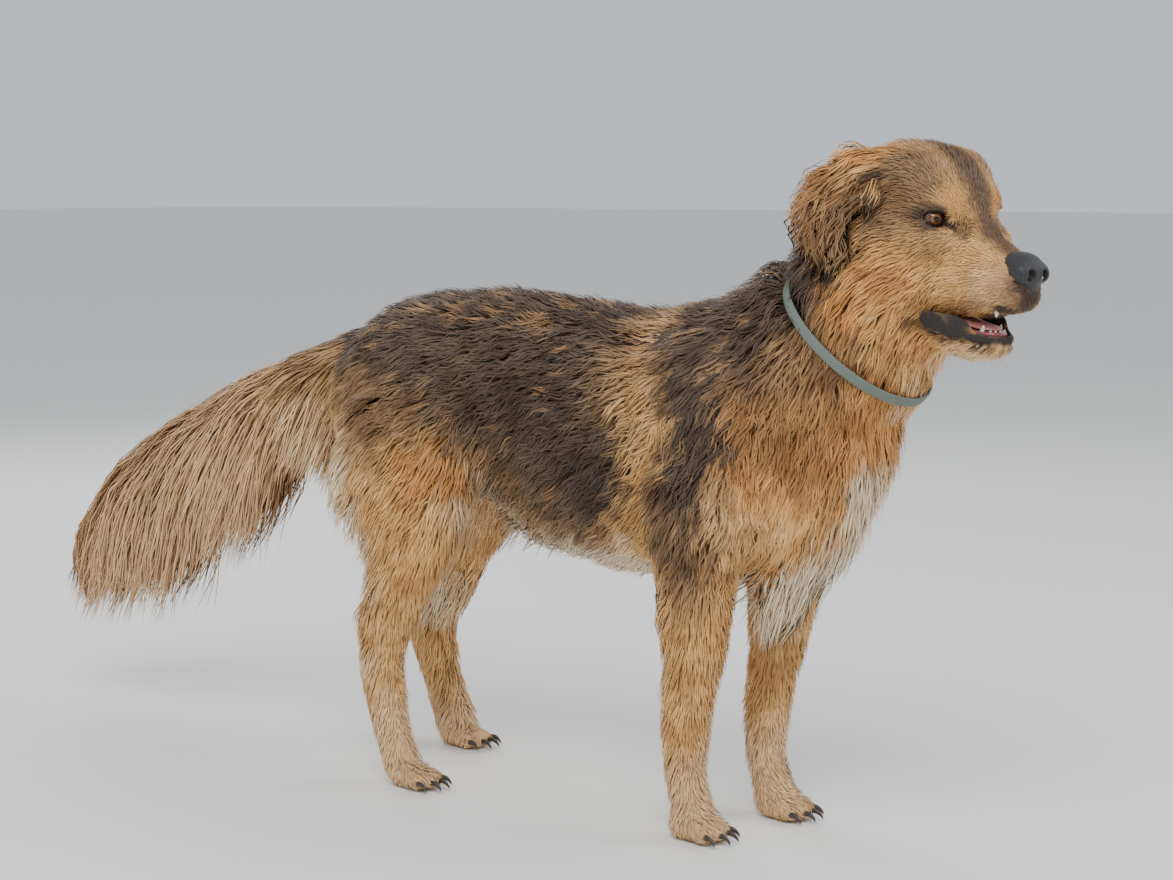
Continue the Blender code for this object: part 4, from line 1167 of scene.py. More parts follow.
def tuft_arrays(path, ways, widths, shared):
    """Points, quads and triangles of closed three-sided spikes, with each point's across and along."""
    count, steps = path.shape[:2]
    rings = steps - 1
    along = unit(np.gradient(path, axis=1))
    side = unit(np.cross(along, ways))
    up = np.cross(side, along)
    t = np.arange(rings) / rings
    half = widths[:, None, None] / 2 * (0.75 + 0.9 * t - 1.25 * t**2)[None, :, None]
    body, side, up = path[:, :-1], side[:, :-1], up[:, :-1]
    ring = np.stack((body - side * half, body + up * half * 0.36, body + side * half), 2)
    points = np.concatenate([ring.reshape(count, rings * 3, 3), path[:, -1:]], 1)
    size = rings * 3 + 1
    # Shaded in part like the coat as a whole, so that its light falls softly.
    own = np.stack((-side, up, side), 2)
    # Hanging hair is seen from behind too, so its edges are shaded away from its ridge.
    edge = 1.6 * shared - 0.39
    lean = np.stack((edge, shared, edge), -1)[:, None, :, None]
    facing = unit(own * 0.75 + ways[:, :-1, None] * lean)
    facing = facing.reshape(count, rings * 3, 3)
    facing = np.concatenate([facing, ways[:, -1:]], 1)
    quads, triangles = [], [(0, 2, 1)]
    for i in range(3):
        j = (i + 1) % 3
        for k in range(rings - 1):
            quads.append((3 * k + i, 3 * k + j, 3 * k + 3 + j, 3 * k + 3 + i))
        triangles.append((3 * rings - 3 + i, 3 * rings - 3 + j, size - 1))
    start = (np.arange(count) * size)[:, None, None]
    across = np.tile((-1.0, 0.0, 1.0), rings).tolist() + [0.0]
    reach = np.repeat(t, 3).tolist() + [1.0]
    return (
        points.reshape(-1, 3),
        (np.array(quads) + start).reshape(-1, 4),
        (np.array(triangles) + start).reshape(-1, 3),
        np.tile(across, count),
        np.tile(reach, count),
        size,
        facing.reshape(-1, 3),
    )


def unwrapped(points, triangles):
    """Each triangle corner's place on an unwrap of these triangles."""
    used, index = np.unique(triangles, return_inverse=True)
    sheet = piece_from("unwrap", points[used], [index.reshape(-1, 3)])
    unwrap(sheet)
    found = np.empty(2 * len(sheet.data.loops), np.float32)
    sheet.data.uv_layers[UV_NAME].data.foreach_get("uv", found)
    bpy.data.objects.remove(sheet, do_unlink=True)
    return found.reshape(-1, 3, 2)


def unwrap(piece):
    """A UV map of a piece from its own shape."""
    piece.data.uv_layers.new(name=UV_NAME)
    bpy.ops.object.select_all(action="DESELECT")
    bpy.context.view_layer.objects.active = piece
    piece.select_set(True)
    bpy.ops.object.mode_set(mode="EDIT")
    bpy.ops.mesh.select_all(action="SELECT")
    bpy.ops.uv.smart_project(angle_limit=math.radians(66), island_margin=0.003)
    bpy.ops.object.mode_set(mode="OBJECT")


def coat_region(spots):
    """The name of the coat piece that each root belongs to, from the nearest CAD node."""
    tree_points, owners = [], []
    for name in FLESH:
        points, triangles = mesh_arrays(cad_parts[name].data)
        tree_points.append(points[triangles].mean(1))
        owners += [name] * len(triangles)
    tree_points = np.vstack(tree_points)
    tree = KDTree(len(tree_points))
    for k, point in enumerate(tree_points):
        tree.insert(point, k)
    tree.balance()
    found = []
    for spot in spots:
        owner = owners[tree.find(spot)[1]]
        side = "left" if spot[1] > 0 else "right"
        if owner == "trunk":
            x = spot[0] - BODY.translation.x
            part = "front" if x > 0.12 else "middle" if x > -0.13 else "rear"
            found.append(f"coat_trunk_{part}_{side}")
        elif owner == "neck":
            found.append(f"coat_neck_{side}")
        elif owner.startswith("ear"):
            found.append("coat_ears")
        elif owner in ("head", "lower_jaw"):
            found.append("coat_head")
        elif owner.startswith("tail"):
            found.append(f"coat_{owner}")
        else:
            found.append("coat_" + owner.rsplit("_", 1)[0])
    return np.array(found)


def coat_pieces(skin, finish, fullness, hair_length):
    """The whole coat as joined meshes of tufts, one for each region."""
    dice = np.random.default_rng(7)
    outline = coat_outline()
    count = int(TUFTS * fullness * (1))
    triangles, face, shares, spots = rooted(skin, outline, count, dice)
    points, _ = mesh_arrays(skin.data)
    edges = points[triangles[face]]
    normals = unit(np.cross(edges[:, 1] - edges[:, 0], edges[:, 2] - edges[:, 0]))
    looks = lie_at(spots)
    depth = np.maximum(-outline.sample(spots), 0)
    lengths = np.maximum(looks[:, 3], 1.8 * depth) * (0.75 + 0.5 * dice.random(len(spots)))
    lengths *= hair_length
    widths = looks[:, 4] * (0.8 + 0.4 * dice.random(len(spots)))

    # Locks: the nearest of every LOCK-th root leads.
    chosen = dice.permutation(len(spots))[: max(len(spots) // LOCK, 1)]
    tree = KDTree(len(chosen))
    for k in chosen:
        tree.insert(spots[k], int(k))
    tree.balance()
    wander = dice.normal(0, 0.0015, spots.shape)
    leaders = np.array([tree.find(spot)[1] for spot in spots + wander])
    lock_dice = dice.random((len(spots), 4))[leaders]
    own_dice = dice.random(len(spots))

    marks = markings_at(spots + (lock_dice[:, :3] - 0.5) * np.clip(lengths * 0.5, 0, 0.02)[:, None])
    # Golden locks among the dark ones: most along the back and behind the shoulder, and in the ears.
    local = through(spots, BODY.inverted())
    golden = 0.05 + 0.16 * smoothstep(0.56, 0.6, local[:, 2]) * (local[:, 0] < 0.3)
    golden = golden + 0.2 * within(local, (0.16, 0.1, 0.5), (0.035, 0.08, 0.15))
    ears = within(through(spots, HEAD.inverted()), (-0.095, 0.09, 0.026), (0.045, 0.04, 0.045))
    golden = golden + 0.4 * ears
    gold = (lock_dice[:, 3] > 1 - golden) * smoothstep(0.02, 0.04, lengths)
    gold = gold * (0.12 + 0.22 * lock_dice[:, 0])
    marks[:, BROWN] *= 1 - gold
    marks[:, BLACK] *= 1 - 0.8 * gold
    regions = coat_region(spots)
    rings = np.where((looks[:, 6] > WAVY) | (lengths > LONG_TUFT), 4, 3)
    rings = np.where(lengths < SHORT_TUFT, 2, rings)
    made = []
    for name in sorted(set(regions)):
        here = regions == name
        corner_uvs = unwrapped(points, triangles[np.unique(face[here])])
        order = {f: k for k, f in enumerate(np.unique(face[here]))}
        parts = []
        for ring_count in (2, 3, 4):
            pick = np.flatnonzero(here & (rings == ring_count))
            if not len(pick):
                continue
            group = np.unique(np.concatenate([pick, leaders[pick]]))
            path, ways = combed(
                spots[group],
                normals[group],
                ring_count,
                outline,
                lengths[group],
                looks[group],
                np.random.default_rng(ring_count),
            )
            phase = lock_dice[group, 0] * math.tau
            wavelength = 0.03 + 0.018 * lock_dice[group, 1]
            height = looks[group, 6] * (0.7 + 0.6 * lock_dice[group, 2])
            path = curled(path, ways, height, phase, wavelength)
            where = np.searchsorted(group, leaders[group])
            found = group[np.minimum(where, len(group) - 1)] == leaders[group]
            where = np.where(found, where, np.arange(len(group)))
            pull = 0.5 * smoothstep(0.012, 0.035, lengths[group]) * (0.5 + 0.5 * own_dice[group])
            path = locked(path, spots[group], where, pull)
            mine = np.searchsorted(group, pick)
            shared = 0.65 - 0.53 * smoothstep(28, 35, looks[pick, 5])
            parts.append((pick, tuft_arrays(path[mine], ways[mine], widths[pick], shared)))
        made.append(
            coat_piece(
                name, parts, marks, lock_dice, own_dice, face, shares, corner_uvs, order, finish
            )
        )
    return made


def coat_piece(name, parts, marks, lock_dice, own_dice, face, shares, corner_uvs, order, finish):
    """One region's tufts as a mesh, each tuft with its colours, its strands and its patch of the UV map."""
    points, faces, marked, hair, uvs, facing = [], [], [], [], [], []
    start = 0
    for pick, (part_points, quads, triangles, across, along, size, normals) in parts:
        facing.append(normals)
        points.append(part_points)
        faces += [quads + start, triangles + start]
        start += len(part_points)
        marked.append(np.repeat(marks[pick], size, axis=0))
        shade = np.repeat(own_dice[pick], size)
        lock = np.repeat(lock_dice[pick, 3], size)
        hair.append(np.stack((along, shade, across / 2 + 0.5, lock), -1))
        rows = np.array([order[f] for f in face[pick]])
        root = (corner_uvs[rows] * shares[pick][..., None]).sum(1)
        root = np.repeat(root * (1 - 2 * UV_PATCH) + UV_PATCH, size, axis=0)
        uvs.append(root + np.stack((across / 2, along - 0.5), -1) * UV_PATCH)
    piece = piece_from(name, np.vstack(points), faces, finish)
    data = piece.data
    store(data, "markings", "FLOAT_COLOR", np.vstack(marked))
    store(data, "hair", "FLOAT_COLOR", np.vstack(hair))
    index = np.empty(len(data.loops), np.int32)
    data.loops.foreach_get("vertex_index", index)
    layer = data.uv_layers.new(name=UV_NAME)
    layer.data.foreach_set("uv", np.vstack(uvs)[index].astype(np.float32).reshape(-1))
    data.normals_split_custom_set_from_vertices(np.vstack(facing))
    return piece


# ---------------------------------------------------------------- materials
# The scale of noise or cells is how many of them fit in a metre: 450 draws them about 2.2 mm across.

MIX = {"data_type": "RGBA"}  # a Mix node's factor is input 0, its colours are 6 and 7
MULTIPLY = {"data_type": "RGBA", "blend_type": "MULTIPLY"}
SOFT = {"interpolation_type": "SMOOTHSTEP"}  # a Map Range node's inputs: value, from, from, to, to


def add_node(tree, kind, inputs=(), **settings):
    """A node with its settings; its inputs take a value, a socket or another node's first result."""
    made = tree.nodes.new(kind if "Node" in kind else f"ShaderNode{kind}")
    for key, value in settings.items():
        setattr(made, key, value)
    for key, value in inputs.items() if isinstance(inputs, dict) else enumerate(inputs):
        if isinstance(value, bpy.types.Node):
            value = next(socket for socket in value.outputs if socket.enabled)
        if isinstance(value, bpy.types.NodeSocket):
            tree.links.new(value, made.inputs[key])
        else:
            made.inputs[key].default_value = value
    return made


def new_finish(name):
    """An empty material, and add_node for its tree."""
    made = bpy.data.materials.new(name)
    made.use_nodes = True
    made.node_tree.nodes.clear()
    return made, partial(add_node, made.node_tree)


def tint(colour, strength=1.0):
    """A colour's value for a colour socket."""
    return (*(part * strength for part in colour), 1.0)


def marked_colour(add, settings):
    """Tan with the orange, cream, brown and black of the "markings" attribute over it, and their shares."""
    marks = add("Attribute", attribute_name="markings")
    shares = (*add("SeparateColor", (marks,)).outputs[:3], marks.outputs["Alpha"])
    colour = tint(settings.tan)
    for share, layer in zip(shares, (settings.orange, settings.cream, settings.brown, settings.black)):
        colour = add("Mix", {0: share, 6: colour, 7: tint(layer)}, **MIX)
    return colour, shares


def hair_finish(settings):
    """Guard hair: matt, darker at the root as painted shade from the coat above, each strand a little
    different.
    """
    made, add = new_finish("Guard hair")
    colour, (_, cream, _, _) = marked_colour(add, settings)
    hair = add("Attribute", attribute_name="hair")
    along, shade, across = add("SeparateColor", (hair,)).outputs[:3]
    # Fine strands inside each tuft, so that a lock seen close isn't one blade.
    scaled = ((across, 3.0), (along, 0.6), (shade, 90.0))
    spot = add("CombineXYZ", [add("Math", pair, operation="MULTIPLY") for pair in scaled])
    strands = add("TexNoise", {"Vector": spot, "Scale": 2.2, "Detail": 1.0})
    # Painted shade: each tuft darker towards its root, down in the coat, and a little brighter at its tip;
    # the rows below add each tuft's own random tone.
    light = add("MapRange", (along, 0.0, 0.7, 0.92, 1.06), **SOFT)
    for row in (
        (shade, 0.0, 1.0, 0.87, 1.13),
        (hair.outputs["Alpha"], 0.0, 1.0, 0.92, 1.09),
        (strands, 0.3, 0.7, 0.86, 1.1),
    ):
        light = add("Math", (light, add("MapRange", row, **SOFT)), operation="MULTIPLY")
    colour = add("Mix", {0: 1.0, 6: colour, 7: light}, **MULTIPLY)
    # Soft clumps about 35 mm across: deeper and redder in some, paler in others, partly the coat's own tone
    # and partly painted shade and highlight of its clumps.
    place = add("TexCoord").outputs["Object"]
    clumps = add("TexNoise", {"Vector": place, "Scale": 28.0, "Detail": 3.0})
    depth = add("MapRange", (clumps, 0.36, 0.64, 0.0, 1.0), **SOFT)
    clump_tone_and_shade = add("Mix", {0: depth, 6: tint((0.82, 0.74, 0.66)), 7: tint((1.14, 1.13, 1.11))}, **MIX)
    strength = add("MapRange", (cream, 0.0, 0.25, 1.0, 0.35), **SOFT)
    colour = add("Mix", {0: strength, 6: colour, 7: clump_tone_and_shade}, **MULTIPLY)
    surface = add("BsdfPrincipled", {"Base Color": colour, "Roughness": 0.62, "Specular IOR Level": 0.28})
    add("OutputMaterial", {"Surface": surface})
    return made


def skin_finish(settings):
    """Skin under the coat: the coat's own colours a little deeper as painted shade under the tufts, black
    bare lips and lids, wet flesh.
    """
    made, add = new_finish("Dog skin")
    colour, _ = marked_colour(add, settings)
    # Painted shade: the skin between the tufts a little darker than the coat over it.
    colour = add("Mix", {0: 1.0, 6: colour, 7: tint((0.94, 0.92, 0.89))}, **MULTIPLY)
    # Down between the tufts and pebbles of the bare lips, both about 2 mm.
    place = add("TexCoord").outputs["Object"]
    down = add("TexNoise", {"Vector": place, "Scale": 450.0, "Detail": 3.0})
    shade = add("Mix", {0: down, 6: tint((0.8,) * 3), 7: tint((1.15,) * 3)}, **MIX)
    colour = add("Mix", {0: 1.0, 6: colour, 7: shade}, **MULTIPLY)
    pebbles = add("TexVoronoi", {"Vector": place, "Scale": 520.0})
    flesh = add("Attribute", attribute_name="flesh").outputs["Fac"]
    colour = add("Mix", {0: flesh, 6: colour, 7: tint(rgb("#6E3B3A"))}, **MIX)
    height = add("Math", (down, pebbles), operation="ADD")
    bump = add("Bump", {"Height": height, "Strength": 0.8, "Distance": 0.001})
    rough = add("MapRange", (flesh, 0.0, 1.0, 0.68, 0.34), **SOFT)
    surface = {"Base Color": colour, "Roughness": rough, "Specular IOR Level": 0.35, "Normal": bump}
    add("OutputMaterial", {"Surface": add("BsdfPrincipled", surface)})
    return made


def eye_finish(settings):
    """Wet eyeball: black pupil, streaked iris with a dark edge, brownish white."""
    made, add = new_finish("Cornea over iris")
    eye = add("Attribute", attribute_name="iris")
    ring, across, up = add("SeparateColor", (eye,)).outputs[:3]
    turned_to = [add("Math", (part, 9.0), operation="MULTIPLY") for part in (across, up)]
    spot = add("CombineXYZ", (*turned_to, ring))
    streaks = add("TexNoise", {"Vector": spot, "Scale": 2.4, "Detail": 3.0})
    pale = add("MapRange", (streaks, 0.35, 0.65, 0.0, 1.0), **SOFT)
    colour = add("Mix", {0: pale, 6: tint(settings.iris, 0.45), 7: tint(settings.iris)}, **MIX)
    # Rings of colour: the iris's dark edge, the pupil, the brownish white.
    for low, high, first, last, code in (
        (0.28, 0.37, 0.0, 0.9, "#150C08"),
        (0.15, 0.175, 1.0, 0.0, "#050404"),
        (0.37, 0.42, 0.0, 1.0, "#5A4238"),
    ):
        share = add("MapRange", (ring, low, high, first, last), **SOFT)
        colour = add("Mix", {0: share, 6: colour, 7: tint(rgb(code))}, **MIX)
    surface = add("BsdfPrincipled", {"Base Color": colour, "Roughness": 0.03, "Specular IOR Level": 0.55})
    add("OutputMaterial", {"Surface": surface})
    return made


def leather_finish(settings):
    """Nose leather: damp, black-grey, pebbled about 1.3 mm."""
    made, add = new_finish("Nose leather")
    place = add("TexCoord").outputs["Object"]
    cells = add("TexVoronoi", {"Vector": place, "Scale": 750.0}, feature="DISTANCE_TO_EDGE")
    cracks = add("MapRange", (cells, 0.0, 0.16, 0.0, 1.0), **SOFT)
    # Painted shade: the grooves between the pebbles darker than their tops.
    colour = add("Mix", {0: cracks, 6: tint(settings.nose, 0.35), 7: tint(settings.nose)}, **MIX)
    bump = add("Bump", {"Height": cracks, "Strength": 0.7, "Distance": 0.0004})
    surface = {"Base Color": colour, "Roughness": 0.38, "Specular IOR Level": 0.5, "Normal": bump}
    add("OutputMaterial", {"Surface": add("BsdfPrincipled", surface)})
    return made


def wet_finish(name, colour, rough, grain):
    """Tongue and gums: smooth wet flesh with a fine grain."""
    made, add = new_finish(name)
    place = add("TexCoord").outputs["Object"]
    noise = add("TexNoise", {"Vector": place, "Scale": grain, "Detail": 3.0})
    colour = add("Mix", {0: noise, 6: tint(colour, 0.7), 7: tint(colour, 1.15)}, **MIX)
    bump = add("Bump", {"Height": noise, "Strength": 0.4, "Distance": 0.0005})
    surface = add("BsdfPrincipled", {"Base Color": colour, "Roughness": rough, "Normal": bump})
    add("OutputMaterial", {"Surface": surface})
    return made


def horn_finish():
    """Claw horn: dark, mottled about 3 mm, with a dull polish."""
    made, add = new_finish("Claw horn")
    place = add("TexCoord").outputs["Object"]
    noise = add("TexNoise", {"Vector": place, "Scale": 320.0, "Detail": 2.0})
    colour = add("Mix", {0: noise, 6: tint(rgb("#1D1916")), 7: tint(rgb("#4A4038"))}, **MIX)
    surface = add("BsdfPrincipled", {"Base Color": colour, "Roughness": 0.42})
    add("OutputMaterial", {"Surface": surface})
    return made


def webbing_finish(settings):
    """Woven tape: a plain weave, matt, pale grey-green."""
    made, add = new_finish("Woven tape")
    place = add("UVMap", uv_map="Weave")
    # A wave's scale is its turns in 314 mm, so a yarn is 2.4 mm, coarser than the real one so that it shows.
    wave = {"Vector": place, "Scale": 130.0}
    yarns = [add("TexWave", wave, bands_direction=way).outputs["Fac"] for way in "XY"]
    weave = add("Math", yarns, operation="MULTIPLY")
    # Painted shade between the yarns and painted light on their crests: darker where the weave is low,
    # lighter where it is high.
    colour = add("Mix", {0: weave, 6: tint(settings.collar, 0.72), 7: tint(settings.collar, 1.12)}, **MIX)
    bump = add("Bump", {"Height": weave, "Strength": 0.5, "Distance": 0.0003})
    surface = add("BsdfPrincipled", {"Base Color": colour, "Roughness": 0.8, "Normal": bump})
    add("OutputMaterial", {"Surface": surface})
    return made


def plain_finish(name, colour, rough):
    """A surface too small or too even to show a grain."""
    made, add = new_finish(name)
    surface = add("BsdfPrincipled", {"Base Color": tint(colour), "Roughness": rough})
    add("OutputMaterial", {"Surface": surface})
    return made


# ---------------------------------------------------------------- eyes, nose, mouth, claws, collar

EYE_SIDES = {"left": 1, "right": -1}
CORNEA = 0.001  # how far it bulges
CORNEA_EDGE = math.radians(38)


def eye_piece(name, side, finish):
    """An eyeball with a bulging cornea, looking a little outwards."""
    rings, sides = 40, 48
    angle = math.pi * (np.arange(1, rings) / rings)
    turn = math.tau * np.arange(sides) / sides
    bulge = CORNEA * (1 - np.minimum(angle / CORNEA_EDGE, 1) ** 2)
    radius = EYE_RADIUS + bulge
    local = np.stack(
        (
            (np.cos(angle) * radius)[:, None] + 0 * turn,
            (np.sin(angle) * radius)[:, None] * np.cos(turn),
            (np.sin(angle) * radius)[:, None] * np.sin(turn),
        ),
        -1,
    ).reshape(-1, 3)
    local = np.vstack([local, [(EYE_RADIUS + CORNEA, 0, 0), (-EYE_RADIUS, 0, 0)]])
    look = Vector(gaze(side)).to_track_quat("X", "Z").to_matrix().to_4x4()
    points = through(local, HEAD @ Matrix.Translation(eye_place(side)) @ look)
    a, b, c, d = ring_corners(rings - 1, sides)
    quads = np.stack((a, c, d, b), -1).reshape(-1, 4)
    first, last = a[0], c[-1]
    front = np.stack((np.full(sides, len(local) - 2), first, np.roll(first, -1)), -1)
    back = np.stack((np.full(sides, len(local) - 1), np.roll(last, -1), last), -1)
    piece = piece_from(name, points, [quads, front, back], finish)
    ring = np.append(np.repeat(angle, sides), (0, math.pi)) / (math.pi / 2)
    around = np.append(np.tile(turn, rings - 1), (0, 0))
    values = np.stack((ring, np.cos(around) / 2 + 0.5, np.sin(around) / 2 + 0.5, np.ones(len(ring))), -1)
    store(piece.data, "iris", "FLOAT_COLOR", values)
    return piece


NOSE_CENTRE = (0.0985, 0.0, -0.0395)
NOSE_RADII = (0.02, 0.0215, 0.02)


def nose_piece(finish):
    """The nose leather: two wings, comma nostrils and the groove between them."""
    centre = through(NOSE_CENTRE, HEAD)
    field = Field(centre - 0.034, centre + 0.034, 0.0008, far=0.012)
    field.add(ball(NOSE_CENTRE, NOSE_RADII, HEAD, rings=28))
    field.add(ball((0.086, 0.0, -0.033), (0.02, 0.02, 0.0125), HEAD), 0.008)
    field.add(ball((0.104, 0.0, -0.057), (0.0088, 0.008, 0.01), HEAD), 0.007)
    for side in (1, -1):
        field.add(ball((0.103, side * 0.015, -0.0395), (0.0135, 0.0092, 0.0115), HEAD), 0.004)
        field.take(ball((0.118, side * 0.0105, -0.0395), (0.01, 0.0058, 0.0062), HEAD), 0.0015)
        slit = [(0.115, 0.0105, -0.041), (0.109, 0.0165, -0.044), (0.099, 0.0235, -0.045)]
        rows = [(f, side * out, up, 0.0022, 0.0023, 0.0023) for f, out, up in slit]
        field.take(tube(rows, HEAD, sides=10), 0.0012)
    groove = [(0.116, 0.0, -0.026), (0.12, 0.0, -0.04), (0.117, 0.0, -0.052), (0.108, 0.0, -0.062)]
    rows = [(f, out, up, 0.0005, 0.0005, 0.0005) for f, out, up in groove]
    field.dent(tube(rows, HEAD, sides=8), 0.0016, 0.0022)
    return piece_from("nose", *surface_of(field, 0.002), finish)


GUM_ARCHES = {
    "upper": metres((
        (10, 20, -82),
        (45, 19, -83),
        (72, 16.5, -82),
        (90, 11, -77.5),
        (96, 0, -75.5),
    )),
    "lower": metres((
        (0, 22, -110),
        (35, 19.5, -112),
        (60, 15, -112.5),
        (74, 9, -111),
        (78.5, 0, -110.5),
    )),
}
# Teeth: how far along the half arch from the back (0) to the middle (1), height, half width.
TEETH = (
    (0.2, 0.004, 0.0036),
    (0.34, 0.004, 0.0036),
    (0.47, 0.0036, 0.0032),
    (0.58, 0.003, 0.0026),
    (0.745, 0.009, 0.0028),  # the canine
    (0.85, 0.0042, 0.0019),
    (0.91, 0.004, 0.0018),
    (0.97, 0.0038, 0.0018),
)


def joined_shapes(name, shapes, finish):
    """One object from several closed shapes."""
    points, faces, start = [], [], 0
    for shape_points, shape_faces in shapes:
        points.append(shape_points)
        faces.append(shape_faces + start)
        start += len(shape_points)
    return piece_from(name, np.vstack(points), faces, finish)


def gums_piece(finish):
    """Gums of both jaws and the dark back of the mouth."""
    shapes = [ball((0.004, 0.0, -0.105), (0.034, 0.024, 0.008), HEAD)]
    for arch in GUM_ARCHES.values():
        rows = [*arch, *[(f, -out, up) for f, out, up in reversed(arch[:-1])]]
        rows = [(*row, 0.0036, 0.004, 0.004) for row in rows]
        shapes.append(sideways_tube(rows, HEAD, sides=14))
    return joined_shapes("gums", shapes, finish)


def sideways_tube(rows, place, sides=12, steps=5):
    """A round tube along any path."""
    rows = between(rows, steps)
    centres, radius = rows[:, :3], rows[:, 3]
    along = unit(np.gradient(centres, axis=0))
    up = unit(np.array((0.0, 0.0, 1.0)) - along * along[:, 2:3])
    out = np.cross(along, up)
    angle = math.tau * np.arange(sides) / sides
    ring = out[:, None] * np.cos(angle)[None, :, None] + up[:, None] * np.sin(angle)[None, :, None]
    points = centres[:, None] + ring * radius[:, None, None]
    count = len(rows)
    faces = ring_triangles(count, sides)
    hub = count * sides
    first = np.arange(sides)
    last = first + hub - sides
    faces.append(np.stack((np.full(sides, hub), first, np.roll(first, -1)), -1))
    faces.append(np.stack((np.full(sides, hub + 1), np.roll(last, -1), last), -1))
    points = np.vstack([points.reshape(-1, 3), centres[:1], centres[-1:]])
    return through(points, place), np.vstack(faces)[:, ::-1]


def teeth_piece(finish):
    """The small teeth that the parted lips show: blunt cones along both arches."""
    shapes = []
    for jaw, arch in GUM_ARCHES.items():
        point_way = -1 if jaw == "upper" else 1
        path = between(arch, 12)
        reach = np.append(0, np.linalg.norm(np.diff(path, axis=0), axis=1).cumsum())
        for share, height, half in TEETH:
            spot = [np.interp(share * reach[-1], reach, path[:, k]) for k in range(3)]
            for side in (1, -1):
                rows = [
                    (
                        spot[0] + 0.0012 * t,
                        side * spot[1],
                        spot[2] + point_way * (0.001 + height * t),
                        half * size * 0.8,
                        half * size,
                        half * size,
                    )
                    for t, size in ((0, 0.85), (0.3, 1.0), (0.6, 0.8), (0.85, 0.5), (1.0, 0.15))
                ]
                shapes.append(tube(rows, HEAD, sides=10, steps=2))
    return joined_shapes("teeth", shapes, finish)


TONGUE = metres((
    (-20, 0, -106, 17, 4.5, 4),
    (20, 0, -105.5, 17.5, 5, 4),
    (50, 0, -106.5, 16, 4.2, 3.6),
    (66, 0, -106.2, 12.5, 3.4, 3),
    (74.5, 0, -106, 5, 1.4, 1.4),
))


def tongue_piece(finish):
    """The tongue, with its crease along the middle."""
    centre = through((0.028, 0.0, -0.106), HEAD)
    field = Field(centre - 0.07, centre + 0.07, 0.0012, far=0.012)
    field.add(tube(TONGUE, HEAD, sides=32))
    crease = [(f, 0.0, up + top, 0.0005, 0.0005, 0.0005) for f, _, up, _, top, _ in TONGUE[:-1]]
    field.dent(tube(crease, HEAD, sides=8), 0.0012, 0.004)
    return piece_from("tongue", *surface_of(field, 0.002), finish)


# Ahead, up, radius.
CLAW_CURVE = metres((
    (-8.5, 2.2, 3),
    (-4, 3, 3.2),
    (0.5, 2.4, 2.9),
    (4.5, 0.4, 2.3),
    (7.5, -2.6, 1.5),
    (9, -5.2, 0.6),
))
CLAW_HEIGHT = 0.0095


def claws_piece(finish):
    """Sixteen curved claws."""
    shapes = []
    for paw in PAWS.values():
        for (x, y), turn in paw_toes(paw):
            ahead = paw[2] * 0.2
            spot = (x + ahead * math.cos(turn), y + ahead * math.sin(turn), CLAW_HEIGHT)
            place = Matrix.Translation(spot)
            rows = [(a, 0.0, up, radius * 0.8, radius, radius) for a, up, radius in CLAW_CURVE]
            shapes.append(tube(rows, BODY @ place @ Matrix.Rotation(turn, 4, "Z"), sides=12))
    return joined_shapes("claws", shapes, finish)


COLLAR_HALF_HEIGHT = 0.1
COLLAR_HALF_WIDTH = 0.096
BAND_THICKNESS = 0.003
BAND_LIFT = 0.0009
KEEPER_ANGLE = math.radians(200)
KEEPER_SIZE = (0.008, 0.016, 0.003)
KEEPER_LIFT = 0.00405  # of its middle from the ring
STITCHES = 9  # in each of two rows
STITCH_LENGTH = 0.0021
STITCH_ROW = 0.0038  # from the band's middle
THREAD_RADIUS = 0.00035


def collar_frame(angle):
    """A point of the collar's ring and its ways along, out and across the band."""
    down = Vector((math.cos(COLLAR_TILT), 0.0, -math.sin(COLLAR_TILT)))
    across = Vector(COLLAR_WAY)
    side = Vector((0, 1, 0))
    cos, sin = math.cos(angle), math.sin(angle)
    spot = COLLAR_CENTRE + down * (cos * COLLAR_HALF_HEIGHT) + side * (sin * COLLAR_HALF_WIDTH)
    out = (down * (cos / COLLAR_HALF_HEIGHT) + side * (sin / COLLAR_HALF_WIDTH)).normalized()
    return spot, across.cross(out), out, across


def band_section(width):
    """The band's cross-section with rolled edges: across and out."""
    half, thick = width / 2, BAND_THICKNESS / 2
    corner = [(math.cos(t), math.sin(t)) for t in np.linspace(0, math.pi / 2, 4)]
    quarter = [(half - thick + c * thick, s * thick) for c, s in corner]
    half_way = quarter + [(-a, b) for a, b in reversed(quarter)]
    return half_way + [(-a, -b) for a, b in half_way]


def band_piece(finish, width):
    """The woven band, one closed ring."""
    section = band_section(width)
    section = [p for k, p in enumerate(section) if p != section[k - 1]]
    sides, count = len(section), 180
    points = []
    for k in range(count):
        spot, _, out, across = collar_frame(math.tau * k / count)
        points += [spot + across * a + out * (b + BAND_LIFT) for a, b in section]
    a = np.arange(count * sides).reshape(count, sides)
    b = np.roll(a, -1, axis=1)
    c, d = np.roll(a, -1, axis=0), np.roll(b, -1, axis=0)
    quads = np.stack((a, b, d, c), -1).reshape(-1, 4)
    piece = piece_from("collar", np.array(points), [quads], finish)
    face_out(piece)
    round_length = math.pi * (COLLAR_HALF_HEIGHT + COLLAR_HALF_WIDTH)
    layer = piece.data.uv_layers.new(name="Weave")
    for polygon in piece.data.polygons:
        rows = [piece.data.loops[k].vertex_index for k in polygon.loop_indices]
        wraps = max(r // sides for r in rows) == count - 1 and min(r // sides for r in rows) == 0
        for loop, row in zip(polygon.loop_indices, rows):
            turn = row // sides + (count if wraps and row // sides == 0 else 0)
            layer.data[loop].uv = (turn / count * round_length, section[row % sides][0])
    return piece


def face_out(piece):
    """Turns every face of a closed piece outwards."""
    mesh = bmesh.new()
    mesh.from_mesh(piece.data)
    bmesh.ops.recalc_face_normals(mesh, faces=mesh.faces)
    mesh.to_mesh(piece.data)
    mesh.free()


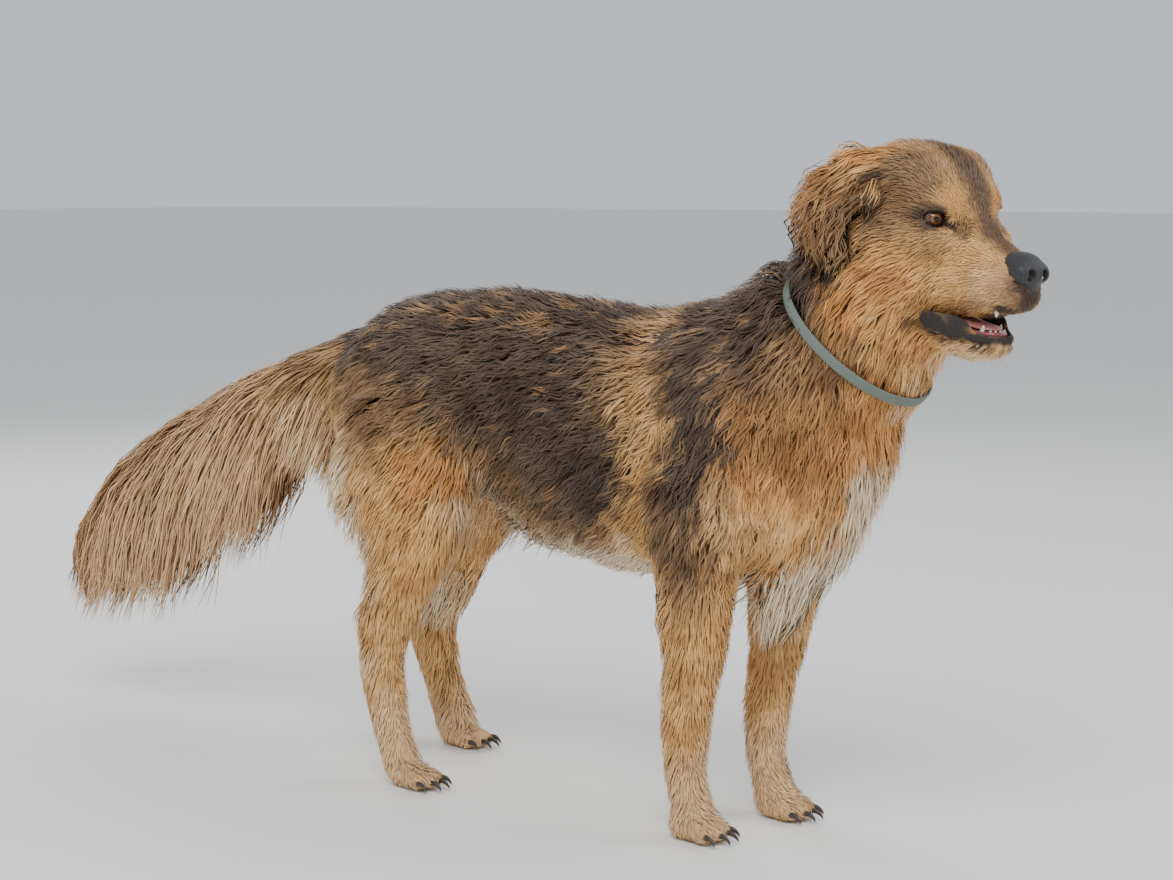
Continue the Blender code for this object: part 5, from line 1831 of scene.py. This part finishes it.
def keeper_piece(finish):
    """The flat loop of tape that holds the band's end."""
    spot, along, out, across = collar_frame(KEEPER_ANGLE)
    place = Matrix((along, across, out)).transposed().to_4x4()
    place.translation = spot + out * KEEPER_LIFT
    mesh = bmesh.new()
    bmesh.ops.create_cube(mesh, size=1, matrix=place @ Matrix.Diagonal((*KEEPER_SIZE, 1)))
    bmesh.ops.bevel(mesh, geom=mesh.edges, offset=0.0011, segments=3, affect="EDGES", profile=0.6)
    data = bpy.data.meshes.new("collar_keeper")
    mesh.to_mesh(data)
    mesh.free()
    data.shade_smooth()
    piece = linked("collar_keeper", data)
    data.materials.append(finish)
    back = place.inverted()
    layer = data.uv_layers.new(name="Weave")
    for loop, uv in zip(data.loops, layer.data):
        local = back @ data.vertices[loop.vertex_index].co
        uv.uv = local.xy
    return piece


# ---------------------------------------------------------------- whiskers and stitches


def repeated_tree(name):
    """Geometry Nodes: a small shape stood at every point along its "aim", as long as its "reach"."""
    tree = bpy.data.node_groups.new(name, "GeometryNodeTree")
    wanted = (("Points", "Geometry"), ("Shape", "Object"), ("Thickness", "Float"), ("Finish", "Material"))
    for label, kind in wanted:
        tree.interface.new_socket(label, in_out="INPUT", socket_type=f"NodeSocket{kind}")
    tree.interface.new_socket("Geometry", in_out="OUTPUT", socket_type="NodeSocketGeometry")
    given = tree.nodes.new("NodeGroupInput").outputs
    aim = add_node(tree, "GeometryNodeInputNamedAttribute", {"Name": "aim"}, data_type="FLOAT_VECTOR")
    reach = add_node(tree, "GeometryNodeInputNamedAttribute", {"Name": "reach"}, data_type="FLOAT")
    turn = add_node(tree, "FunctionNodeAlignRotationToVector", {"Vector": aim}, axis="Z")
    size = add_node(tree, "CombineXYZ", (given["Thickness"], given["Thickness"], reach))
    shape = add_node(tree, "GeometryNodeObjectInfo", {"Object": given["Shape"]}).outputs["Geometry"]
    stood = add_node(
        tree,
        "GeometryNodeInstanceOnPoints",
        {"Points": given["Points"], "Instance": shape, "Rotation": turn, "Scale": size},
    )
    real = add_node(tree, "GeometryNodeRealizeInstances", {"Geometry": stood})
    done = add_node(tree, "GeometryNodeSetMaterial", {"Geometry": real, "Material": given["Finish"]})
    add_node(tree, "NodeGroupOutput", (done,))
    return tree


def repeated_piece(name, places, aims, reaches, shape, thickness, finish):
    """One mesh of many copies of a shape."""
    data = bpy.data.meshes.new(name)
    data.from_pydata([tuple(p) for p in places], [], [])
    store(data, "aim", "FLOAT_VECTOR", aims)
    store(data, "reach", "FLOAT", reaches)
    piece = linked(name, data)
    tree = repeated_tree(name)
    modifier = piece.modifiers.new("Repeat", "NODES")
    modifier.node_group = tree
    names = {item.name: item.identifier for item in tree.interface.items_tree if item.in_out == "INPUT"}
    modifier[names["Shape"]] = shape
    modifier[names["Thickness"]] = thickness
    modifier[names["Finish"]] = finish
    piece.update_tag()
    made_plain(piece)
    bpy.data.objects.remove(shape, do_unlink=True)
    piece.data.materials.clear()
    piece.data.materials.append(finish)
    return piece


def taper_shape():
    """A bent, tapered bristle 1 m long that the node group scales down."""
    rows = [(0.1 * t * t, 0.0, t, 1 - 0.9 * t, 1 - 0.9 * t, 1 - 0.9 * t) for t in (0, 0.35, 0.7, 1.0)]
    return shape_piece("bristle", upright_tube(rows, sides=5))


def upright_tube(rows, sides):
    """A tube up the z axis, with no floor under its radius."""
    rows = np.array(rows)
    angle = math.tau * np.arange(sides) / sides
    ring = np.stack((np.cos(angle), np.sin(angle), 0 * angle), -1)
    points = rows[:, None, :3] + ring[None] * rows[:, 3, None, None]
    a, b, c, d = ring_corners(len(rows), sides)
    faces = [np.stack(corners, -1).reshape(-1, 3) for corners in ((a, b, d), (a, d, c))]
    return points.reshape(-1, 3), np.vstack(faces)


WHISKER_BED = metres(((98, 19, -60), (60, 33, -78)))  # front and back of the rows


def whiskers_piece(finish, thickness):
    """Whiskers in rows on the upper lip, over the eyes and on the chin."""
    dice = np.random.default_rng(3)
    places, aims, reaches = [], [], []
    front, back = (np.array(p) for p in WHISKER_BED)
    for side in (1, -1):
        for row in range(4):
            for k in range(5):
                share = (k + 0.5 * (row % 2)) / 5
                spot = front + (back - front) * share + np.array((0, 0.001 * row, 0.004 * (1.5 - row)))
                aim = np.array((0.25 - 0.9 * share, 1.0, -0.35 - 0.12 * row)) + dice.normal(0, 0.08, 3)
                places.append(spot * (1, side, 1))
                aims.append(aim * (1, side, 1))
                reaches.append(0.016 + 0.02 * share + 0.006 * dice.random())
        for k in range(4):
            places.append(np.array((0.01 - 0.003 * k, side * (0.03 + 0.004 * k), 0.027)))
            aims.append(np.array((0.35, side * 0.35, 1.0)) + dice.normal(0, 0.1, 3))
            reaches.append(0.014 + 0.006 * dice.random())
        for k in range(4):
            places.append(np.array((0.07 - 0.012 * k, side * (0.01 + 0.004 * k), -0.134)))
            aims.append(np.array((0.3, side * 0.5, -1.0)) + dice.normal(0, 0.1, 3))
            reaches.append(0.012 + 0.008 * dice.random())
    places, aims = through(places, HEAD), turned(aims, HEAD)
    return repeated_piece("whiskers", places, aims, reaches, taper_shape(), thickness / 2, finish)


def stitches_piece(finish):
    """Two rows of stitches where the band's end is sewn down beside the keeper."""
    places, aims, reaches = [], [], []
    for row in (-1, 1):
        for k in range(STITCHES):
            spot, along, out, across = collar_frame(KEEPER_ANGLE + (0.1 + 0.03 * k))
            lift = BAND_LIFT + BAND_THICKNESS / 2
            places.append(spot + out * lift + across * (row * STITCH_ROW))
            aims.append(along)
            reaches.append(STITCH_LENGTH)
    shape = shape_piece("stitch", ball((0, 0, 0.5), (1, 1, 0.5), rings=4))
    return repeated_piece("collar_stitches", places, aims, reaches, shape, THREAD_RADIUS, finish)


# ---------------------------------------------------------------- stage


def stage_pieces(finish):
    """A pale floor, soft light from a wide sky and three big soft lamps."""
    corners = np.array([(-60.0, -60.0, 0.0), (60.0, -60.0, 0.0), (60.0, 60.0, 0.0), (-60.0, 60.0, 0.0)])
    floor = piece_from("floor", corners, [np.array([[0, 1, 2, 3]])], finish)
    world = bpy.data.worlds.new("Soft sky")
    world.use_nodes = True
    sky = next(n for n in world.node_tree.nodes if n.type == "BACKGROUND")
    sky.inputs["Color"].default_value = tint(rgb("#DDE3EA"))
    sky.inputs["Strength"].default_value = 0.92
    bpy.context.scene.world = world
    for name, place, size, power in (
        ("Key", (1.5, -2.6, 3.4), 2.6, 140),
        ("Fill", (3.0, 2.2, 2.6), 3.0, 60),
        ("Rim", (-3.0, 1.5, 2.6), 2.4, 60),
    ):
        lamp = bpy.data.lights.new(name, "AREA")
        lamp.shape = "DISK"
        lamp.size = size
        lamp.energy = power
        stand = linked(name, lamp)
        stand.location = place
        stand.rotation_euler = (Vector((0, 0, 0.4)) - Vector(place)).to_track_quat("-Z", "Y").to_euler()
    return floor


CAMERA_TURN = math.radians(37)
CAMERA_RISE = math.radians(6.3)
CAMERA_PLACE = (1.8417, -2.246, 0.759)
CAMERA_LENS = 70.6  # mm


def add_camera():
    """A camera at the height of the dog's head, ahead of its right shoulder."""
    camera = linked("Camera", bpy.data.cameras.new("Camera"))
    camera.data.lens = CAMERA_LENS
    level = math.cos(CAMERA_RISE)
    back = (math.sin(CAMERA_TURN) * level, -math.cos(CAMERA_TURN) * level, math.sin(CAMERA_RISE))
    camera.location = CAMERA_PLACE
    camera.rotation_euler = Vector(back).to_track_quat("Z", "Y").to_euler()
    bpy.context.scene.camera = camera


# ---------------------------------------------------------------- add-on


def length_setting(label, words, size):
    """A length in metres."""
    return bpy.props.FloatProperty(name=label, description=words, default=size, min=0, unit="LENGTH")


def factor_setting(label, words, low, high):
    """A multiplier, usually 1."""
    return bpy.props.FloatProperty(
        name=label, description=words, default=1.0, min=low, max=high, subtype="FACTOR"
    )


def colour_setting(label, words, code):
    return bpy.props.FloatVectorProperty(
        name=label, description=words, subtype="COLOR", size=3, min=0, max=1, default=rgb(code)
    )


class DogSettings(bpy.types.PropertyGroup):
    """Colours, fullness and length of the coat, colours of the bare parts, sizes of collar and whiskers."""

    tan: colour_setting("Tan", "The coat's main colour", "#D7A86E")
    orange: colour_setting("Orange", "Warm patches on neck, thigh, brows and cheeks", "#C68645")
    cream: colour_setting("Cream", "Breeches, chest, belly and tail", "#EBDDC2")
    brown: colour_setting("Brown", "The saddle, nape and forehead stripe", "#574639")
    black: colour_setting("Black", "The darkest patches, lips and lids", "#2E2927")
    nose: colour_setting("Nose", "The nose leather", "#2E2E31")
    iris: colour_setting("Iris", "The coloured ring of the eyes", "#8E5A30")
    collar: colour_setting("Collar", "The collar's tape", "#6F7A71")
    hair_length: factor_setting("Hair length", "Tufts' lengths against the usual ones", 0.3, 1.3)
    fullness: factor_setting("Fullness", "Tufts against the usual number", 0.1, 1.0)
    collar_width: length_setting("Collar width", "The width of the collar's tape", 0.012)
    whisker_thickness: length_setting("Whisker thickness", "A whisker's width at its root", 0.00044)


def settled(piece, slot, *nodes):
    """A finished piece: it rides the body and stands for these nodes; its slot is not used."""
    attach(piece, "root")
    if nodes:
        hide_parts(*nodes)
    return piece


class DOG_OT_skin(bpy.types.Operator):
    """Models the skin under the coat, with its markings"""

    bl_idname = "dog.skin"
    bl_label = "Skin"

    def execute(self, context):
        skin = skin_piece(skin_finish(context.scene.dog))
        points, _ = mesh_arrays(skin.data)
        store(skin.data, "markings", "FLOAT_COLOR", markings_at(points))
        store(skin.data, "flesh", "FLOAT", flesh_at(points))
        unwrap(skin)
        settled(skin, "coat", *FLESH)
        return {"FINISHED"}


class DOG_OT_coat(bpy.types.Operator):
    """Covers the skin with combed tufts of hair"""

    bl_idname = "dog.coat"
    bl_label = "Coat"

    def execute(self, context):
        settings = context.scene.dog
        skin, hair = bpy.data.objects["skin"], hair_finish(settings)
        for piece in coat_pieces(skin, hair, settings.fullness, settings.hair_length):
            settled(piece, "coat")
        return {"FINISHED"}


class DOG_OT_eyes(bpy.types.Operator):
    """Adds both eyeballs"""

    bl_idname = "dog.eyes"
    bl_label = "Eyes"

    def execute(self, context):
        finish = eye_finish(context.scene.dog)
        for name, side in EYE_SIDES.items():
            settled(eye_piece(f"eyeball_{name}", side, finish), "eye", f"eye_{name}")
        return {"FINISHED"}


class DOG_OT_nose(bpy.types.Operator):
    """Adds the nose leather and the whiskers"""

    bl_idname = "dog.nose"
    bl_label = "Nose and whiskers"

    def execute(self, context):
        settled(nose_piece(leather_finish(context.scene.dog)), "nose_leather", "nose")
        # Keratin: dark bristles with a faint gloss.
        bristle = plain_finish("Whisker keratin", rgb("#2B2623"), 0.45)
        settled(whiskers_piece(bristle, context.scene.dog.whisker_thickness), "coat")
        return {"FINISHED"}


class DOG_OT_mouth(bpy.types.Operator):
    """Adds the tongue, the gums and the teeth that show"""

    bl_idname = "dog.mouth"
    bl_label = "Mouth"

    def execute(self, context):
        # Wet flesh: the tongue pink with 1 mm papillae, the gums darker, mottled about 3 mm.
        tongue = wet_finish("Tongue", rgb("#C07A78"), 0.32, 900.0)
        gums = wet_finish("Gums", rgb("#8E4F4E"), 0.28, 300.0)
        # Enamel: ivory, polished and wet.
        enamel = plain_finish("Tooth enamel", rgb("#DDD6C4"), 0.25)
        settled(tongue_piece(tongue), "flesh", "tongue")
        settled(gums_piece(gums), "flesh")
        settled(teeth_piece(enamel), "flesh")
        return {"FINISHED"}


class DOG_OT_claws(bpy.types.Operator):
    """Adds the sixteen claws"""

    bl_idname = "dog.claws"
    bl_label = "Claws"

    def execute(self, context):
        nodes = [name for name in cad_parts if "_claw_" in name]
        settled(claws_piece(horn_finish()), "claw", *nodes)
        return {"FINISHED"}


class DOG_OT_collar(bpy.types.Operator):
    """Adds the collar's band, keeper and stitches"""

    bl_idname = "dog.collar"
    bl_label = "Collar"

    def execute(self, context):
        tape = webbing_finish(context.scene.dog)
        settled(band_piece(tape, context.scene.dog.collar_width), "webbing", "collar")
        settled(keeper_piece(tape), "webbing", "collar_keeper")
        # Spun thread: dull, a shade darker than the tape.
        thread = plain_finish("Sewing thread", rgb("#5E6A62"), 0.7)
        settled(stitches_piece(thread), "webbing")
        return {"FINISHED"}


class DOG_OT_stage(bpy.types.Operator):
    """Sets the floor, the light and the camera"""

    bl_idname = "dog.stage"
    bl_label = "Stage"

    def execute(self, context):
        # Painted board: pale and matt.
        floor = stage_pieces(plain_finish("Studio floor", rgb("#E8E6E2"), 0.85))
        floor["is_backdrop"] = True
        add_camera()
        return {"FINISHED"}


OPERATORS = (
    DOG_OT_skin,
    DOG_OT_coat,
    DOG_OT_eyes,
    DOG_OT_nose,
    DOG_OT_mouth,
    DOG_OT_claws,
    DOG_OT_collar,
    DOG_OT_stage,
)


class DOG_PT_panel(bpy.types.Panel):
    """The dog's settings and pieces"""

    bl_label = "Dog"
    bl_idname = "DOG_PT_panel"
    bl_space_type = "VIEW_3D"
    bl_region_type = "UI"
    bl_category = "Dog"

    def draw(self, context):
        for name in DogSettings.__annotations__:
            self.layout.prop(context.scene.dog, name)
        for operator in OPERATORS:
            self.layout.operator(operator.bl_idname)


CLASSES = (DogSettings, *OPERATORS, DOG_PT_panel)


def register():
    for made in CLASSES:
        bpy.utils.register_class(made)
    bpy.types.Scene.dog = bpy.props.PointerProperty(type=DogSettings)


def unregister():
    del bpy.types.Scene.dog
    for made in reversed(CLASSES):
        bpy.utils.unregister_class(made)


def main():
    register()
    bpy.ops.dog.skin()
    bpy.ops.dog.coat()
    bpy.ops.dog.eyes()
    bpy.ops.dog.nose()
    bpy.ops.dog.mouth()
    bpy.ops.dog.claws()
    bpy.ops.dog.collar()
    bpy.ops.dog.stage()
    sizes = {"cad": CAD_BOX, "visual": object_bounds()}
    {name: [list(low), list(high)] for name, (low, high) in sizes.items()}


if __name__ == "__main__":
    main()
